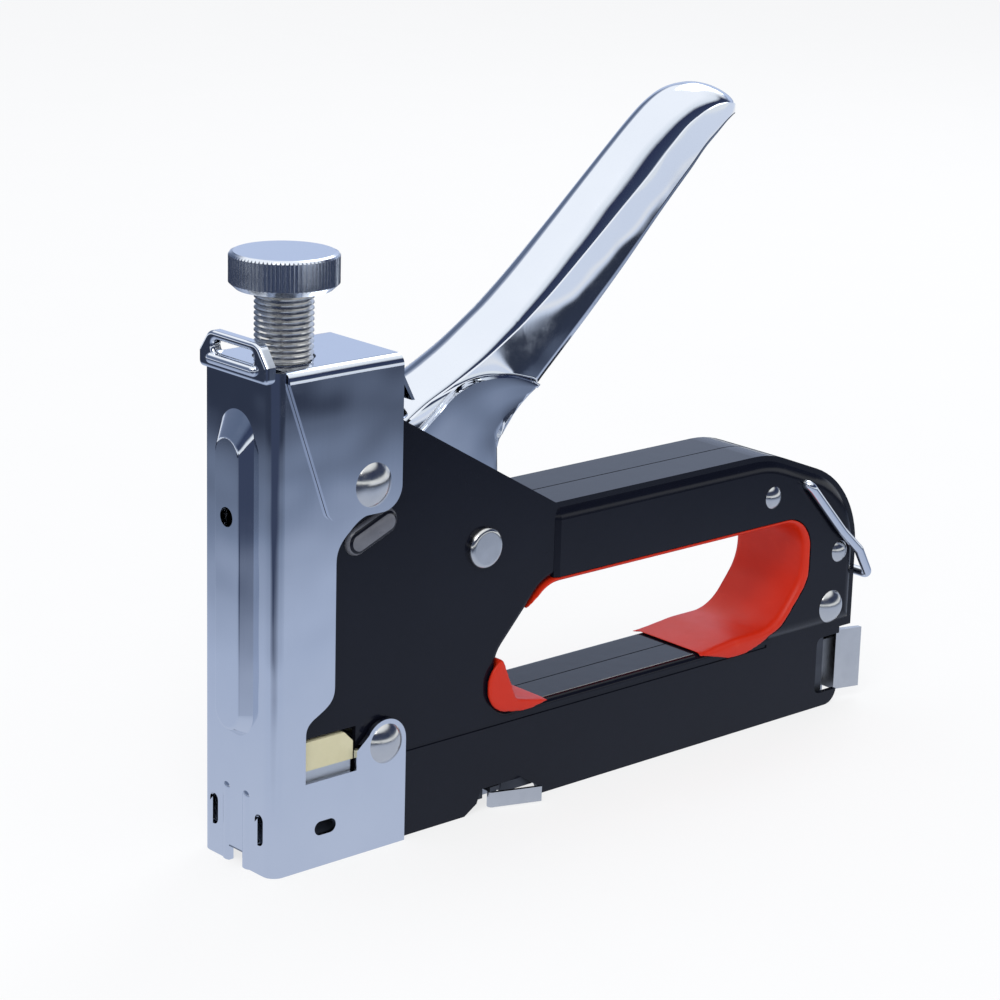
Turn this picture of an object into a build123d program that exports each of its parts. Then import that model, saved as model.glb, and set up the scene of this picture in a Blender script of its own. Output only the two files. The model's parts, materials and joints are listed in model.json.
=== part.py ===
from build123d import *
import math
import os

# Hand staple gun. Millimetres, +Z up. The outlines are drawn with x = 0 at the front plate and
# +X towards the rear; finish() then moves every piece so that the tool stands centred over the
# origin, on its flat bottom.

# ---------------------------------------------------------------- driving dimensions
tool_length = 158.0        # front plate to the end of the tail clip
clip_reach = 3.0           # the clip's wings end this far behind the grip
grip_rear = tool_length - clip_reach
running_fit = 0.05         # radial clearance of pins that turn
close_gap = 0.1            # gap between fixed pieces that lie against each other
free_gap = 0.35            # gap between pieces that move past each other

# black pressed body halves
body_half = 9.0            # mid plane to the outer face of the plates
body_sheet = 1.1
seam_gap = 0.3             # between the two halves at the mid plane
body_front = 3.2
body_nose_rear = 20.2      # where the plates step down behind the nose
body_nose_low = 24.6
body_top = 91.8
body_top_rear = 26.0
shoulder_x = 29.7          # front end of the slanting top edge
shoulder_z = 80.8
tail_step = 3.4            # the magazine ends this far in front of the grip's rear edge
magazine_rear = grip_rear - tail_step
magazine_height = 17.4     # top of the straight lower wall
magazine_corner = 3.4
grip_step = 0.9            # the grip stands this much proud of the plates
grip_start = 68.3
grip_top = 58.5
grip_tail_low = 16.8
grip_fall = 27.7           # length of the falling top of the grip
grip_slope_start = grip_rear - grip_fall
grip_slope = 21.0          # degrees
grip_rear_radius = 20.9
grip_slope_radius = 25.0
grip_edge_radius = 3.5
rim_radius = 1.4           # rolled edge round the finger hole
bar_top = 19.4             # top of the lower bar
crease_width = 0.7         # pressed line along the top of the magazine wall
crease_depth = 0.25

# finger hole
hole_front = 54.4
hole_knee_z = 30.8
hole_top_front = 66.5
hole_top = 43.8
rear_wall = 14.8           # body behind the finger hole
hole_rear = grip_rear - rear_wall
hole_rear_knee = 29.5
hole_low_run = 8.7         # length of the slanting lower rear corner
hole_low_rear = hole_rear - hole_low_run
grip_low_lead = 2.3        # the proud part of the grip starts this far in front of that corner
grip_low_start = hole_low_rear - grip_low_lead

# red liner of the finger hole
liner_top_wall = 1.0
liner_rear_wall = 1.6
liner_low_wall = 1.3
liner_lip = 1.1            # how far the lips stand out from the plates
liner_edge_depth = 1.2     # the inner edges are rounded over this depth
liner_edge_first = 20.0    # degrees of the two steps of that rounding
liner_edge_second = 45.0
liner_tip_wall = 0.25      # the ends thin out to this
liner_front_run = 5.6      # the upper part ends this far behind the front of the hole
liner_bridge_wall = 0.7
liner_bridge_half = 6.0
liner_toe_length = 13.0
liner_toe_drop = 0.8       # the toe starts this far below the front knee
liner_heel_length = 23.0
liner_heel_thin = 11.0     # length of the part that thins out
liner_heel_side = 14.5     # the lips of the heel reach this far forward
liner_heel_drop = 2.4      # and this far below the bar's top

# chrome nose cover
cover_gap = 0.6            # between the plates and the cover's sides
cover_sheet = 0.9
cover_half = body_half + cover_gap + cover_sheet
cover_corner = 2.5
cover_rear = 31.0
cover_top = 91.4
cover_deck_rear = 27.0     # part of the sides that lies under the cap
window_left = 7.6
window_right = 19.4
window_low = 16.6
window_high = 25.8
cover_waist = 14.1
cover_neck_low = 34.0      # ends of the straight part of the waist
cover_neck_high = 57.0
lobe_radius = 4.7
rib_half = 4.9             # foot of the rib
rib_low = 24.9
rib_high = 85.2
rib_height = 2.3
rib_crest_half = 3.4       # flat crest of the rib
rib_crest_low = 26.6
rib_crest_high = 80.4
rib_crest_radius = 0.7
rib_hole_z = 66.0
rib_hole_radius = 1.8
slot_y = 6.7
slot_low = 5.6
slot_high = 11.6
slot_width = 2.4
slot_tab_width = 1.1       # bent tab that fills one side of each slot
slot_tab_gap = 1.9         # open above the tab
slot_tab_slant = 1.2
notch_half = 2.0
notch_height = 3.0
ridge_y = 2.9
ridge_half = 1.1
ridge_height = 0.35
ridge_top = 15.0
side_slot_x = 12.2
side_slot_z = 7.4
side_slot_length = 4.9
side_slot_width = 2.7
loop_top = 98.2
loop_shoulder = 94.4
loop_half = 9.8
loop_top_half = 7.0
loop_sheet = 2.0
loop_edge_radius = 0.65
loop_slot_half = 6.0
loop_slot_width = 2.3
loop_slot_z = 95.5
loop_bead_z = 93.3
loop_bead_radius = 1.0

# chrome cap over the nose
cap_sheet = 0.8
cap_half = cover_half + close_gap + cap_sheet
cap_top = 93.3
cap_front = 2.8
cap_rear = 28.3
cap_low = 65.0
cap_low_front = 12.2
cap_edge_radius = 2.0
cap_corner_radius = 4.5
cap_front_radius = 2.5
cap_hole_gap = 0.3
flap_end_x = 33.4
flap_end_z = 83.6
flap_half = 8.4

# tension screw and knob
screw_x = 10.2
screw_radius = 5.3
screw_pitch = 1.0
thread_depth = 0.45
screw_low = 88.5
pilot_radius = 2.5
pilot_length = 2.2
knob_radius = 9.8
knob_low = 105.5
knob_top = 112.0
knob_bevel = 1.2
knob_edge = 0.7            # rounding of the upper rim
knurl_count = 80
knurl_depth = 0.3
nut_gap = 0.7
nut_half = body_half - body_sheet - nut_gap
nut_height = 3.6

# drive spring, its seat and the plunger
spring_wire = 1.9
spring_gap = 0.75          # between the coil and the plates
spring_radius = body_half - body_sheet - spring_gap - spring_wire / 2
spring_turns = 7.5
seat_radius = 7.0
seat_flange = 2.0
seat_low = 84.6
seat_spigot_radius = 4.8
seat_spigot_length = 3.0
plunger_front = 2.9
plunger_rear = 17.2
plunger_gap = 1.1          # to the inner faces of the plates
plunger_half = body_half - body_sheet - plunger_gap
plunger_low = 24.7
plunger_top = 40.0
plunger_spigot_length = 6.0
yoke_low = 33.0
yoke_half = 5.2
yoke_rear = 22.9
yoke_bar = 3.0
blade_thickness = 1.2
blade_half = 5.0
blade_low = 1.5
blade_high = 38.5

# bumper under the plunger
bumper_low = 18.6
bumper_high = 24.1
bumper_gap = 0.2
bumper_half = cover_half - cover_sheet - bumper_gap
bumper_chamfer = 2.0
bracket_sheet = 1.0

# lever
pivot_x = 50.3
pivot_z = 53.0
lever_gap = 0.4            # to the inner faces of the plates
lever_half = body_half - body_sheet - lever_gap
lever_sheet = 1.2
cheek_step = 0.4           # the cheeks lie this much further in than the side walls
lever_front_radius = 33.9  # about the pivot
lever_boss = 7.0
lever_tip_x = 121.0
lever_crest = [            # back line: x, z and how far the arched back falls to its side creases
    (24.0, 74.5, 2.5),
    (28.0, 78.6, 2.5),
    (32.5, 82.0, 2.4),
    (37.0, 84.6, 2.2),
    (43.0, 87.4, 1.8),
    (50.0, 91.2, 1.7),
    (58.0, 96.6, 2.2),
    (65.0, 102.1, 3.1),
    (72.0, 108.1, 4.0),
    (80.0, 115.2, 4.7),
    (88.0, 122.3, 5.0),
    (94.0, 127.4, 4.9),
    (99.0, 131.2, 4.6),
    (103.5, 133.4, 4.2),
    (108.5, 134.0, 3.8),
    (114.0, 132.8, 3.0),
    (122.0, 129.6, 2.0),
]
lever_rim = [              # lower edge of the side walls, from the tip to the cheeks
    (118.5, 126.4),
    (112.5, 127.0),
    (106.1, 125.8),
    (101.0, 120.8),
    (95.4, 114.7),
    (86.0, 104.7),
    (77.1, 95.7),
    (63.0, 82.2),
]
lever_travel = 38.0        # degrees
pivot_radius = 2.5
lifter_half = 2.0
lifter_reach = 28.0
lifter_tip_radius = 2.2
lifter_pin_x = 42.0
lifter_pin_z = 66.0
lifter_pin_radius = 2.0
lifter_ear_radius = 4.0

# rivets: place, head radius, head height, shank radius
pivot_head_radius = 3.95
pivot_head_height = 1.4
cap_rivet_x = 21.7
cap_rivet_z = 70.4
cap_rivet_head = 4.1
cap_rivet_shank = 1.6
nose_rivet_x = 26.3
nose_rivet_z = 20.2
nose_rivet_head = 3.8
nose_rivet_shank = 1.8
dome_height = 1.7
small_rivet_places = [(grip_rear - 27.0, 49.3), (grip_rear - 5.9, 34.1)]
small_rivet_head = 2.3
small_rivet_dome = 1.0
small_rivet_shank = 1.2
rear_rivet_x = grip_rear - 7.6
rear_rivet_z = 22.3
rear_rivet_head = 3.5
rear_rivet_shank = 1.6
tube_wall = 0.9

# wire bail that locks the closed lever
bail_wire = 2.0
bail_pivot_x = grip_rear - 17.6
bail_pivot_z = 50.6
bail_kink_x = grip_rear - 7.0
bail_kink_z = 39.1
bail_bow_x = grip_rear - 1.4
bail_bow_z = 34.0
bail_end_x = grip_rear + 2.0
bail_end_z = 28.0
bail_bend = 1.2            # radius to the middle of the wire

# magazine
channel_gap = 0.9          # to the inner faces of the plates
channel_half = body_half - body_sheet - channel_gap
channel_sheet = 0.8
channel_front = 3.4
channel_rear = magazine_rear - 2.6
channel_low = 1.6
channel_top = 16.2
rail_space = 1.3           # room for the pusher's side between rail and channel
rail_half = channel_half - channel_sheet - rail_space
rail_sheet = 0.8
rail_front = 3.8
rail_low = 1.2
rail_top = 12.8
rail_slot_half = 1.3
rail_slot_front = 9.0
clip_front = magazine_rear + 0.3
rail_slot_rear = clip_front - 13.9
clip_web = 1.0
clip_low = 2.4
clip_high = 15.6
clip_half = body_half - 1.0
clip_flare = 1.6
recess_front = magazine_rear - 6.8
recess_low = 3.0
recess_high = 15.4
recess_corner = 1.5
pusher_sheet = 0.5
pusher_length = 16.0
pusher_low = 2.2
tongue_thickness = 2.0
tongue_half = 0.9
rod_radius = 1.2
rod_z = 7.5
rod_ring_radius = 2.2
pusher_spring_radius = 2.5
pusher_spring_wire = 0.5
pusher_spring_pitch = 4.6

# finger tabs of the drawer catch
catch_x = 54.6
catch_y = body_half - 0.7
catch_pin_radius = 0.45
catch_eye_radius = 0.9
catch_low = 0.2
catch_high = 3.2
catch_reach_x = catch_x + 9.4
catch_reach_y = body_half + 3.1
catch_leaf = 0.7
catch_notch_front = catch_x - 7.6
catch_notch_slant = 3.2    # foot of the slanting front end of the notch
catch_notch_step = 1.9
catch_notch_rear = catch_reach_x + 2.8
catch_notch_taper = 5.3
catch_notch_height = 4.6
catch_lug = 0.9

# raised slot on each plate
emboss_front = (19.7, 59.7)
emboss_rear = (26.3, 62.4)
emboss_width = 4.8
emboss_height = 1.2


# ---------------------------------------------------------------- helpers
def across(outline, low, high):
    """Extrude a side-view outline, drawn in (x, z), across the tool from y = low to y = high."""
    return extrude(Plane.XZ.offset(-high) * outline, amount=high - low)


def upright(outline, low, high):
    """Extrude a plan outline, drawn in (x, y), from z = low to z = high."""
    return Pos(0, 0, low) * extrude(outline, amount=high - low)


def polygon(points):
    """Closed face through a list of points."""
    return make_face(Polyline(*points, close=True))


def rectangle(x_low, z_low, x_high, z_high):
    """Axis-aligned face between two corners."""
    return polygon([(x_low, z_low), (x_high, z_low), (x_high, z_high), (x_low, z_high)])


def box(x_low, x_high, y_low, y_high, z_low, z_high):
    """Block between six planes."""
    return upright(rectangle(x_low, y_low, x_high, y_high), z_low, z_high)


def disc(x, z, radius):
    """Round face in a side-view outline."""
    return Pos(x, z) * Circle(radius)


def cross_bar(x, z, radius, low, high):
    """Round bar across the tool."""
    return across(disc(x, z, radius), low, high)


def dome(x, z, face, radius, height):
    """Domed rivet head that stands on the plane y = face, on the side away from the mid plane."""
    ball_radius = (radius**2 + height**2) / (2 * height)
    side = math.copysign(1, face)
    ball = Pos(x, face + side * (height - ball_radius), z) * Sphere(ball_radius)
    low, high = sorted((face, face + side * height))
    return ball & across(disc(x, z, radius), low, high)


def through_rivet(x, z, half, radius, height, shank):
    """Rivet through the whole tool with a dome on each face at y = +-half."""
    rivet = cross_bar(x, z, shank, -half, half)
    for face in (-half, half):
        rivet += dome(x, z, face, radius, height)
    return rivet


def both_sides(piece):
    """The piece and its mirror image on the other side of the mid plane."""
    return [piece, mirror(piece, about=Plane.XZ)]


def turned(x, z, radius, degrees):
    """Point at a distance and an angle from (x, z) in the side view."""
    return (x + radius * math.cos(math.radians(degrees)), z + radius * math.sin(math.radians(degrees)))


# ---------------------------------------------------------------- body halves
def grip_corner_z():
    """Height where the falling top of the grip would meet its rear edge."""
    return grip_top - (grip_rear - grip_slope_start) * math.tan(math.radians(grip_slope))


def body_outline():
    """Side view of a body half, without the finger hole."""
    face = polygon(
        [
            (body_front, body_nose_low),
            (body_nose_rear, body_nose_low),
            (body_nose_rear, 0),
            (magazine_rear, 0),
            (magazine_rear, grip_tail_low),
            (grip_rear, grip_tail_low),
            (grip_rear, grip_corner_z()),
            (grip_slope_start, grip_top),
            (grip_start, grip_top),
            (shoulder_x, shoulder_z),
            (body_top_rear, shoulder_z + (shoulder_x - body_top_rear) * 0.575),
            (body_top_rear, body_top),
            (body_front, body_top),
        ]
    )

    def corner(x, z):
        return face.vertices().sort_by_distance((x, z, 0))[:1]

    face = fillet(corner(grip_rear, grip_corner_z()), grip_rear_radius)
    face = fillet(face.vertices().sort_by_distance((grip_slope_start, grip_top, 0))[:1], grip_slope_radius)
    face = fillet(face.vertices().sort_by_distance((magazine_rear, 0, 0))[:1], magazine_corner)
    return face


def finger_hole():
    """Side view of the finger hole through the plates."""
    points = [
        (hole_front, bar_top, 3.0),
        (hole_front, hole_knee_z, 6.0),
        (hole_top_front, hole_top, 8.0),
        (hole_rear, hole_top, 7.5),
        (hole_rear, hole_rear_knee, 8.0),
        (hole_low_rear, bar_top, 8.0),
    ]
    face = polygon([(x, z) for x, z, _ in points])
    for x, z, radius in points:
        face = fillet(face.vertices().sort_by_distance((x, z, 0))[:1], radius)
    return face


def body_cavity_outline():
    """Side view of the space inside a body half, open where the lever, plunger and magazine pass."""
    inside = offset(body_outline(), amount=-body_sheet) - offset(finger_hole(), amount=body_sheet)
    past = 2 * body_sheet
    openings = [
        rectangle(body_front - past, body_nose_low - past, body_front + past, body_top + past),
        rectangle(body_front, body_nose_low - past, body_nose_rear + past, body_nose_low + past),
        rectangle(body_nose_rear - past, -past, body_nose_rear + past, body_nose_low),
        rectangle(body_nose_rear, -past, magazine_rear + past, past),
        rectangle(magazine_rear - past, 0, magazine_rear + past, recess_high),
        polygon(
            [
                (body_front, body_top - past),
                (body_front, body_top + past),
                (body_top_rear + past, body_top + past),
                (grip_start - body_sheet, grip_top + past),
                (grip_start - body_sheet, grip_top - past),
                (body_top_rear - past, shoulder_z),
                (body_top_rear - past, body_top - past),
            ]
        ),
    ]
    for opening in openings:
        inside = inside + opening
    return inside


def grip_area():
    """Part of the side view where the pressing stands proud."""
    low_part = rectangle(grip_low_start, magazine_height, grip_rear, hole_rear_knee)
    high_part = rectangle(grip_start, hole_rear_knee, grip_rear, grip_top)
    return body_outline() & (low_part + high_part)


def emboss():
    """Raised slot on the near plate."""
    run = math.hypot(emboss_rear[0] - emboss_front[0], emboss_rear[1] - emboss_front[1])
    rise = math.degrees(math.atan2(emboss_rear[1] - emboss_front[1], emboss_rear[0] - emboss_front[0]))
    middle = ((emboss_front[0] + emboss_rear[0]) / 2, (emboss_front[1] + emboss_rear[1]) / 2)
    slot = Pos(*middle) * Rot(0, 0, rise) * SlotCenterToCenter(run, emboss_width)
    pad = across(slot, -body_half - emboss_height, -body_half + close_gap)
    return fillet(pad.faces().sort_by(Axis.Y)[0].edges(), emboss_height - 0.15)


def rivet_holes():
    """Round holes through the whole body for the rivets, the pivot pin and the bail."""
    places = [
        (pivot_x, pivot_z, pivot_radius),
        (cap_rivet_x, cap_rivet_z, cap_rivet_shank),
        (nose_rivet_x, nose_rivet_z, nose_rivet_shank),
        (rear_rivet_x, rear_rivet_z, rear_rivet_shank),
        (bail_pivot_x, bail_pivot_z, bail_wire / 2),
    ]
    places += [(x, z, small_rivet_shank) for x, z in small_rivet_places]
    reach = cap_half + 1
    return [cross_bar(x, z, radius + running_fit, -reach, reach) for x, z, radius in places]


def hole_rim(block):
    """Edges of the finger hole on the outer face of a block at y < 0."""
    face = block.faces().sort_by(Axis.Y)[0]
    rim = []
    for edge in face.edges():
        place = edge.center()
        if hole_front - 1 < place.X < hole_rear + 1 and bar_top - 1 < place.Z < hole_top + 1:
            rim.append(edge)
    return rim


def body_half_shell():
    """Near half of the body: a pressed pan with a turned-in rim, at y < 0."""
    hole = finger_hole()
    plate = across(body_outline() - hole, -body_half, -seam_gap / 2)
    plate = fillet(hole_rim(plate), rim_radius)
    grip = across(grip_area() - hole, -body_half - grip_step, -seam_gap / 2)
    outer_edges = []
    for edge in grip.faces().sort_by(Axis.Y)[0].edges():
        place = edge.center()
        if place.X > grip_start + 0.1 and (place.Z > hole_top + 1 or place.X > hole_rear + 1):
            outer_edges.append(edge)
    grip = fillet(outer_edges, grip_edge_radius)
    step = [
        edge
        for edge in grip.faces().sort_by(Axis.Y)[0].edges().filter_by(Axis.Z)
        if edge.center().X < grip_start + 0.1
    ]
    grip = chamfer(step, grip_step - 0.05)
    shell = plate + grip
    shell -= across(body_cavity_outline(), -body_half + body_sheet, 0)
    pocket = offset(grip_area(), amount=-body_sheet - grip_step) - offset(hole, amount=body_sheet + grip_step)
    shell -= across(pocket, -body_half - grip_step + body_sheet, -body_half + 2 * body_sheet)
    shell += emboss()
    crease_low = magazine_height - crease_width
    shell -= box(
        cover_rear + 1, grip_low_start, -body_half - 1, -body_half + crease_depth, crease_low, magazine_height
    )
    recess = rectangle(recess_front, recess_low, magazine_rear + 5, recess_high)
    recess = fillet(recess.vertices().group_by(Axis.X)[0], recess_corner)
    shell -= across(recess, -2 * body_half, -body_half / 2)
    notch = polygon(
        [
            (catch_notch_front, -0.1),
            (catch_notch_front + catch_notch_slant, catch_notch_step),
            (catch_notch_front + catch_notch_slant + 1, catch_notch_height),
            (catch_notch_rear - catch_notch_taper, catch_notch_height),
            (catch_notch_rear - 1, catch_notch_step),
            (catch_notch_rear, -0.1),
        ]
    )
    shell -= across(notch, -2 * body_half, -body_half / 2)
    for hole in rivet_holes():
        shell -= hole
    return shell


# ---------------------------------------------------------------- chrome nose cover
def cover_side_outline():
    """Side view of the nose cover, with its waist, window and rivet lobe."""
    lobe_left = turned(nose_rivet_x, nose_rivet_z, lobe_radius, 150)
    front_column = cap_front - 2 * close_gap
    edge = [
        Line((0, 0), (cover_rear, 0)),
        Line((cover_rear, 0), (cover_rear, nose_rivet_z)),
        ThreePointArc(
            (cover_rear, nose_rivet_z),
            (nose_rivet_x, nose_rivet_z + lobe_radius),
            lobe_left,
        ),
        Line(lobe_left, (window_right, nose_rivet_z)),
        Line((window_right, nose_rivet_z), (window_right, window_low)),
        Line((window_right, window_low), (window_left, window_low)),
        Line((window_left, window_low), (window_left, window_high)),
        Spline(
            (window_left, window_high),
            (window_left + 2.6, window_high + 3.3),
            (cover_waist - 1.0, window_high + 5.2),
            (cover_waist, cover_neck_low),
            tangents=((0, 1), (0, 1)),
        ),
        Line((cover_waist, cover_neck_low), (cover_waist, cover_neck_high)),
        Spline(
            (cover_waist, cover_neck_high),
            (cover_waist + 3.0, cap_low - 2.6),
            (cover_waist + 7.0, cap_low - 0.3),
            tangents=((0, 1), (1, 0.2)),
        ),
        Line((cover_waist + 7.0, cap_low - 0.3), (cover_deck_rear, cap_low + cap_corner_radius)),
        Line((cover_deck_rear, cap_low + cap_corner_radius), (cover_deck_rear, cover_top)),
        Line((cover_deck_rear, cover_top), (front_column, cover_top)),
        Line((front_column, cover_top), (front_column, cap_top)),
        Line((front_column, cap_top), (0, cap_top)),
        Line((0, cap_top), (0, 0)),
    ]
    return make_face(edge)


def forward(outline, low, high):
    """Extrude a front-view outline, drawn in (y, z), from x = low to x = high."""
    return extrude(Plane.YZ.offset(low) * outline, amount=high - low)


def rib_slot(inset, half, low, high):
    """Long rounded outline of the raised rib, drawn in (y, z) and made smaller by inset."""
    slot = SlotOverall(high - low - 2 * inset, 2 * half - 2 * inset)
    return Pos(0, (high + low) / 2) * Rot(0, 0, 90) * slot


def front_rib(inset):
    """Raised rib with sloping flanks and a long sloping top, made smaller by inset."""
    foot = Plane.YZ * rib_slot(inset, rib_half, rib_low, rib_high)
    crest = rib_slot(inset, rib_crest_half, rib_crest_low, rib_crest_high)
    rib = loft([foot, Plane.YZ.offset(inset - rib_height) * crest], ruled=True)
    if inset == 0:
        rib = fillet(rib.faces().sort_by(Axis.X)[0].edges(), rib_crest_radius)
    return rib


def slot_tab(middle_y):
    """Bent tab with a slanting top that fills the +Y side of a front slot."""
    outer = middle_y + slot_width / 2
    inner = outer - slot_tab_width
    top = slot_high - slot_tab_gap
    tab = polygon([(outer, slot_low), (inner, slot_low), (inner, top + slot_tab_slant), (outer, top)])
    return forward(tab, -cover_sheet / 4, cover_sheet)


def nose_ridge(middle_y):
    """Low soft ridge that stiffens the front plate beside the staple outlet."""
    radius = (ridge_half**2 + ridge_height**2) / (2 * ridge_height)
    centre = radius - ridge_height
    straight = ridge_top - ridge_half
    ridge = Pos(centre, 0, 0) * Cylinder(radius, straight, align=(Align.CENTER, Align.CENTER, Align.MIN))
    ridge += Pos(centre, 0, straight) * Sphere(radius)
    ridge &= box(-1, cover_sheet / 2, -2 * ridge_half, 2 * ridge_half, 0, ridge_top + 1)
    return Pos(0, middle_y, 0) * ridge


def hanging_loop():
    """Ring with an oblong hole and a rolled lip below it, on top of the front plate."""
    ring = polygon(
        [
            (-loop_half, cap_top - 2),
            (loop_half, cap_top - 2),
            (loop_half, loop_shoulder),
            (loop_top_half, loop_top),
            (-loop_top_half, loop_top),
            (-loop_half, loop_shoulder),
        ]
    )
    ring = fillet(ring.vertices().group_by(Axis.Y)[-1], 2.5)
    ring = fillet(ring.vertices().group_by(Axis.Y)[0], 1.0)
    ring -= Pos(0, loop_slot_z) * SlotOverall(2 * loop_slot_half, loop_slot_width)
    ring = forward(ring, cover_sheet - loop_sheet, cover_sheet)
    ring = fillet(ring.faces().sort_by(Axis.X)[0].edges(), loop_edge_radius)
    bead = Rot(90, 0, 0) * Cylinder(loop_bead_radius, 2 * loop_slot_half)
    for end in (-loop_slot_half, loop_slot_half):
        bead += Pos(0, end, 0) * Sphere(loop_bead_radius)
    return ring + Pos(cover_sheet - loop_sheet, 0, loop_bead_z) * bead


def nose_cover():
    """U-shaped front cover: front plate, two sides, raised rib, slots and hanging loop."""
    block = across(cover_side_outline(), -cover_half, cover_half)
    corners = [edge for edge in block.edges().filter_by(Axis.Z) if edge.center().X < 0.01]
    block = fillet(corners, cover_corner)
    inner = box(
        cover_sheet, cover_rear + 1, -cover_half + cover_sheet, cover_half - cover_sheet, -1, cap_top + 1
    )
    inner = fillet(
        [edge for edge in inner.edges().filter_by(Axis.Z) if edge.center().X < cover_sheet + 0.01],
        cover_corner - cover_sheet,
    )
    cover = block - inner + front_rib(0)
    cover -= front_rib(cover_sheet)
    cover -= forward(rib_slot(cover_sheet, rib_half, rib_low, rib_high), 0, cover_sheet + 1)
    cover -= forward(Pos(0, rib_hole_z) * Circle(rib_hole_radius), -rib_height - 1, cover_sheet)

    for side in (-1, 1):
        middle = (slot_low + slot_high) / 2
        slot = Pos(side * slot_y, middle) * Rot(0, 0, 90) * SlotOverall(slot_high - slot_low, slot_width)
        cover -= forward(slot, -1, cover_sheet + 0.5)
        cover += slot_tab(side * slot_y)
        cover += nose_ridge(side * ridge_y)
    cover -= box(-2, cover_sheet + 1, -notch_half, notch_half, -1, notch_height)
    slot = Pos(side_slot_x, side_slot_z) * SlotOverall(side_slot_length, side_slot_width)
    cover -= across(slot, -cover_half - 1, cover_half + 1)
    cover += hanging_loop()
    for x, z, radius in (
        (cap_rivet_x, cap_rivet_z, cap_rivet_shank),
        (nose_rivet_x, nose_rivet_z, nose_rivet_shank),
    ):
        cover -= cross_bar(x, z, radius + running_fit, -cap_half, cap_half)
    return cover


# ---------------------------------------------------------------- chrome cap
def top_cap():
    """Inverted U over the nose with a flap that hangs down behind it."""
    side = polygon(
        [
            (cap_front, cap_top),
            (cap_front, cap_top - 2),
            (cap_low_front, cap_low),
            (cap_rear, cap_low),
            (cap_rear, cap_top),
        ]
    )
    side = fillet(side.vertices().sort_by_distance((cap_rear, cap_low, 0))[:1], cap_corner_radius)
    side = fillet(side.vertices().sort_by_distance((cap_low_front, cap_low, 0))[:1], cap_front_radius)
    block = across(side, -cap_half, cap_half)
    long_edges = [edge for edge in block.edges().filter_by(Axis.X) if edge.center().Z > cap_top - 0.01]
    block = fillet(long_edges, cap_edge_radius)
    inner_half = cap_half - cap_sheet
    inner = box(0, cap_rear + 1, -inner_half, inner_half, cap_low - 1, cap_top - cap_sheet)
    inner = fillet(
        [edge for edge in inner.edges().filter_by(Axis.X) if edge.center().Z > cap_top - cap_sheet - 0.01],
        cap_edge_radius - cap_sheet,
    )
    cap = block - inner
    slope = math.atan2(cap_top - flap_end_z, flap_end_x - cap_rear)
    across_sheet = (cap_sheet * math.sin(slope), cap_sheet * math.cos(slope))
    flap = polygon(
        [
            (cap_rear - cap_sheet, cap_top),
            (cap_rear, cap_top),
            (flap_end_x, flap_end_z),
            (flap_end_x - across_sheet[0], flap_end_z - across_sheet[1] + cap_sheet / 2),
            (cap_rear - cap_sheet, cap_top - cap_sheet),
        ]
    )
    cap += across(flap, -flap_half, flap_half)
    cap -= Pos(screw_x, 0, cap_top) * Cylinder(screw_radius + cap_hole_gap, 3 * cap_sheet)
    cap -= cross_bar(cap_rivet_x, cap_rivet_z, cap_rivet_shank + running_fit, -cap_half - 1, cap_half + 1)
    return cap


# ---------------------------------------------------------------- tension screw
def cap_nut():
    """Thick threaded plate under the cap that the tension screw turns in."""
    top = cap_top - cap_sheet - close_gap
    nut = box(screw_x - nut_half + 0.4, screw_x + nut_half, -nut_half, nut_half, top - nut_height, top)
    nut -= Pos(screw_x, 0, top) * Cylinder(screw_radius + running_fit, 3 * nut_height)
    return chamfer(nut.edges().filter_by(Axis.Z), 0.6)


def tension_screw():
    """Threaded shank: ring-shaped grooves at the pitch of the thread, with a plain pilot below."""
    root = screw_radius - thread_depth
    points = [
        (0, screw_low - pilot_length),
        (pilot_radius, screw_low - pilot_length),
        (pilot_radius, screw_low),
        (root, screw_low),
    ]
    turns = int((knob_low - screw_low) / screw_pitch)
    for turn in range(turns):
        start = screw_low + turn * screw_pitch
        points.append((root, start + 0.1 * screw_pitch))
        points.append((screw_radius, start + 0.45 * screw_pitch))
        points.append((screw_radius, start + 0.65 * screw_pitch))
    points.append((root, knob_low))
    points.append((0, knob_low))
    return Pos(screw_x, 0, 0) * revolve(Plane.XZ * polygon(points), Axis.Z)


def tension_knob():
    """Knurled head with bevelled rims."""
    rim = []
    for index in range(knurl_count):
        angle = 360 * index / knurl_count
        step = 360 / knurl_count
        rim.append(turned(0, 0, knob_radius, angle))
        rim.append(turned(0, 0, knob_radius, angle + 0.5 * step))
        rim.append(turned(0, 0, knob_radius - knurl_depth, angle + 0.75 * step))
    head = upright(polygon(rim), knob_low, knob_top)
    profile = polygon(
        [
            (0, knob_low),
            (knob_radius - knob_bevel, knob_low),
            (knob_radius + 0.1, knob_low + knob_bevel),
            (knob_radius + 0.1, knob_top - knob_edge),
            (knob_radius - 0.4 * knob_edge, knob_top - 0.3 * knob_edge),
            (knob_radius - 1.2 * knob_edge, knob_top),
            (0, knob_top),
        ]
    )
    return Pos(screw_x, 0, 0) * (head & revolve(Plane.XZ * profile, Axis.Z))


def spring_seat():
    """Cup that the screw presses down on the drive spring."""
    seat_top = seat_low + seat_flange
    profile = polygon(
        [
            (0, seat_low - seat_spigot_length),
            (seat_spigot_radius - 0.8, seat_low - seat_spigot_length),
            (seat_spigot_radius, seat_low - seat_spigot_length + 0.8),
            (seat_spigot_radius, seat_low),
            (seat_radius, seat_low),
            (seat_radius, seat_top),
            (pilot_radius + 1.2, seat_top),
            (pilot_radius + 1.2, screw_low - free_gap),
            (pilot_radius + running_fit, screw_low - free_gap),
            (pilot_radius + running_fit, screw_low - pilot_length - running_fit),
            (0, screw_low - pilot_length - running_fit),
        ]
    )
    return Pos(screw_x, 0, 0) * revolve(Plane.XZ * profile, Axis.Z)


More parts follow.
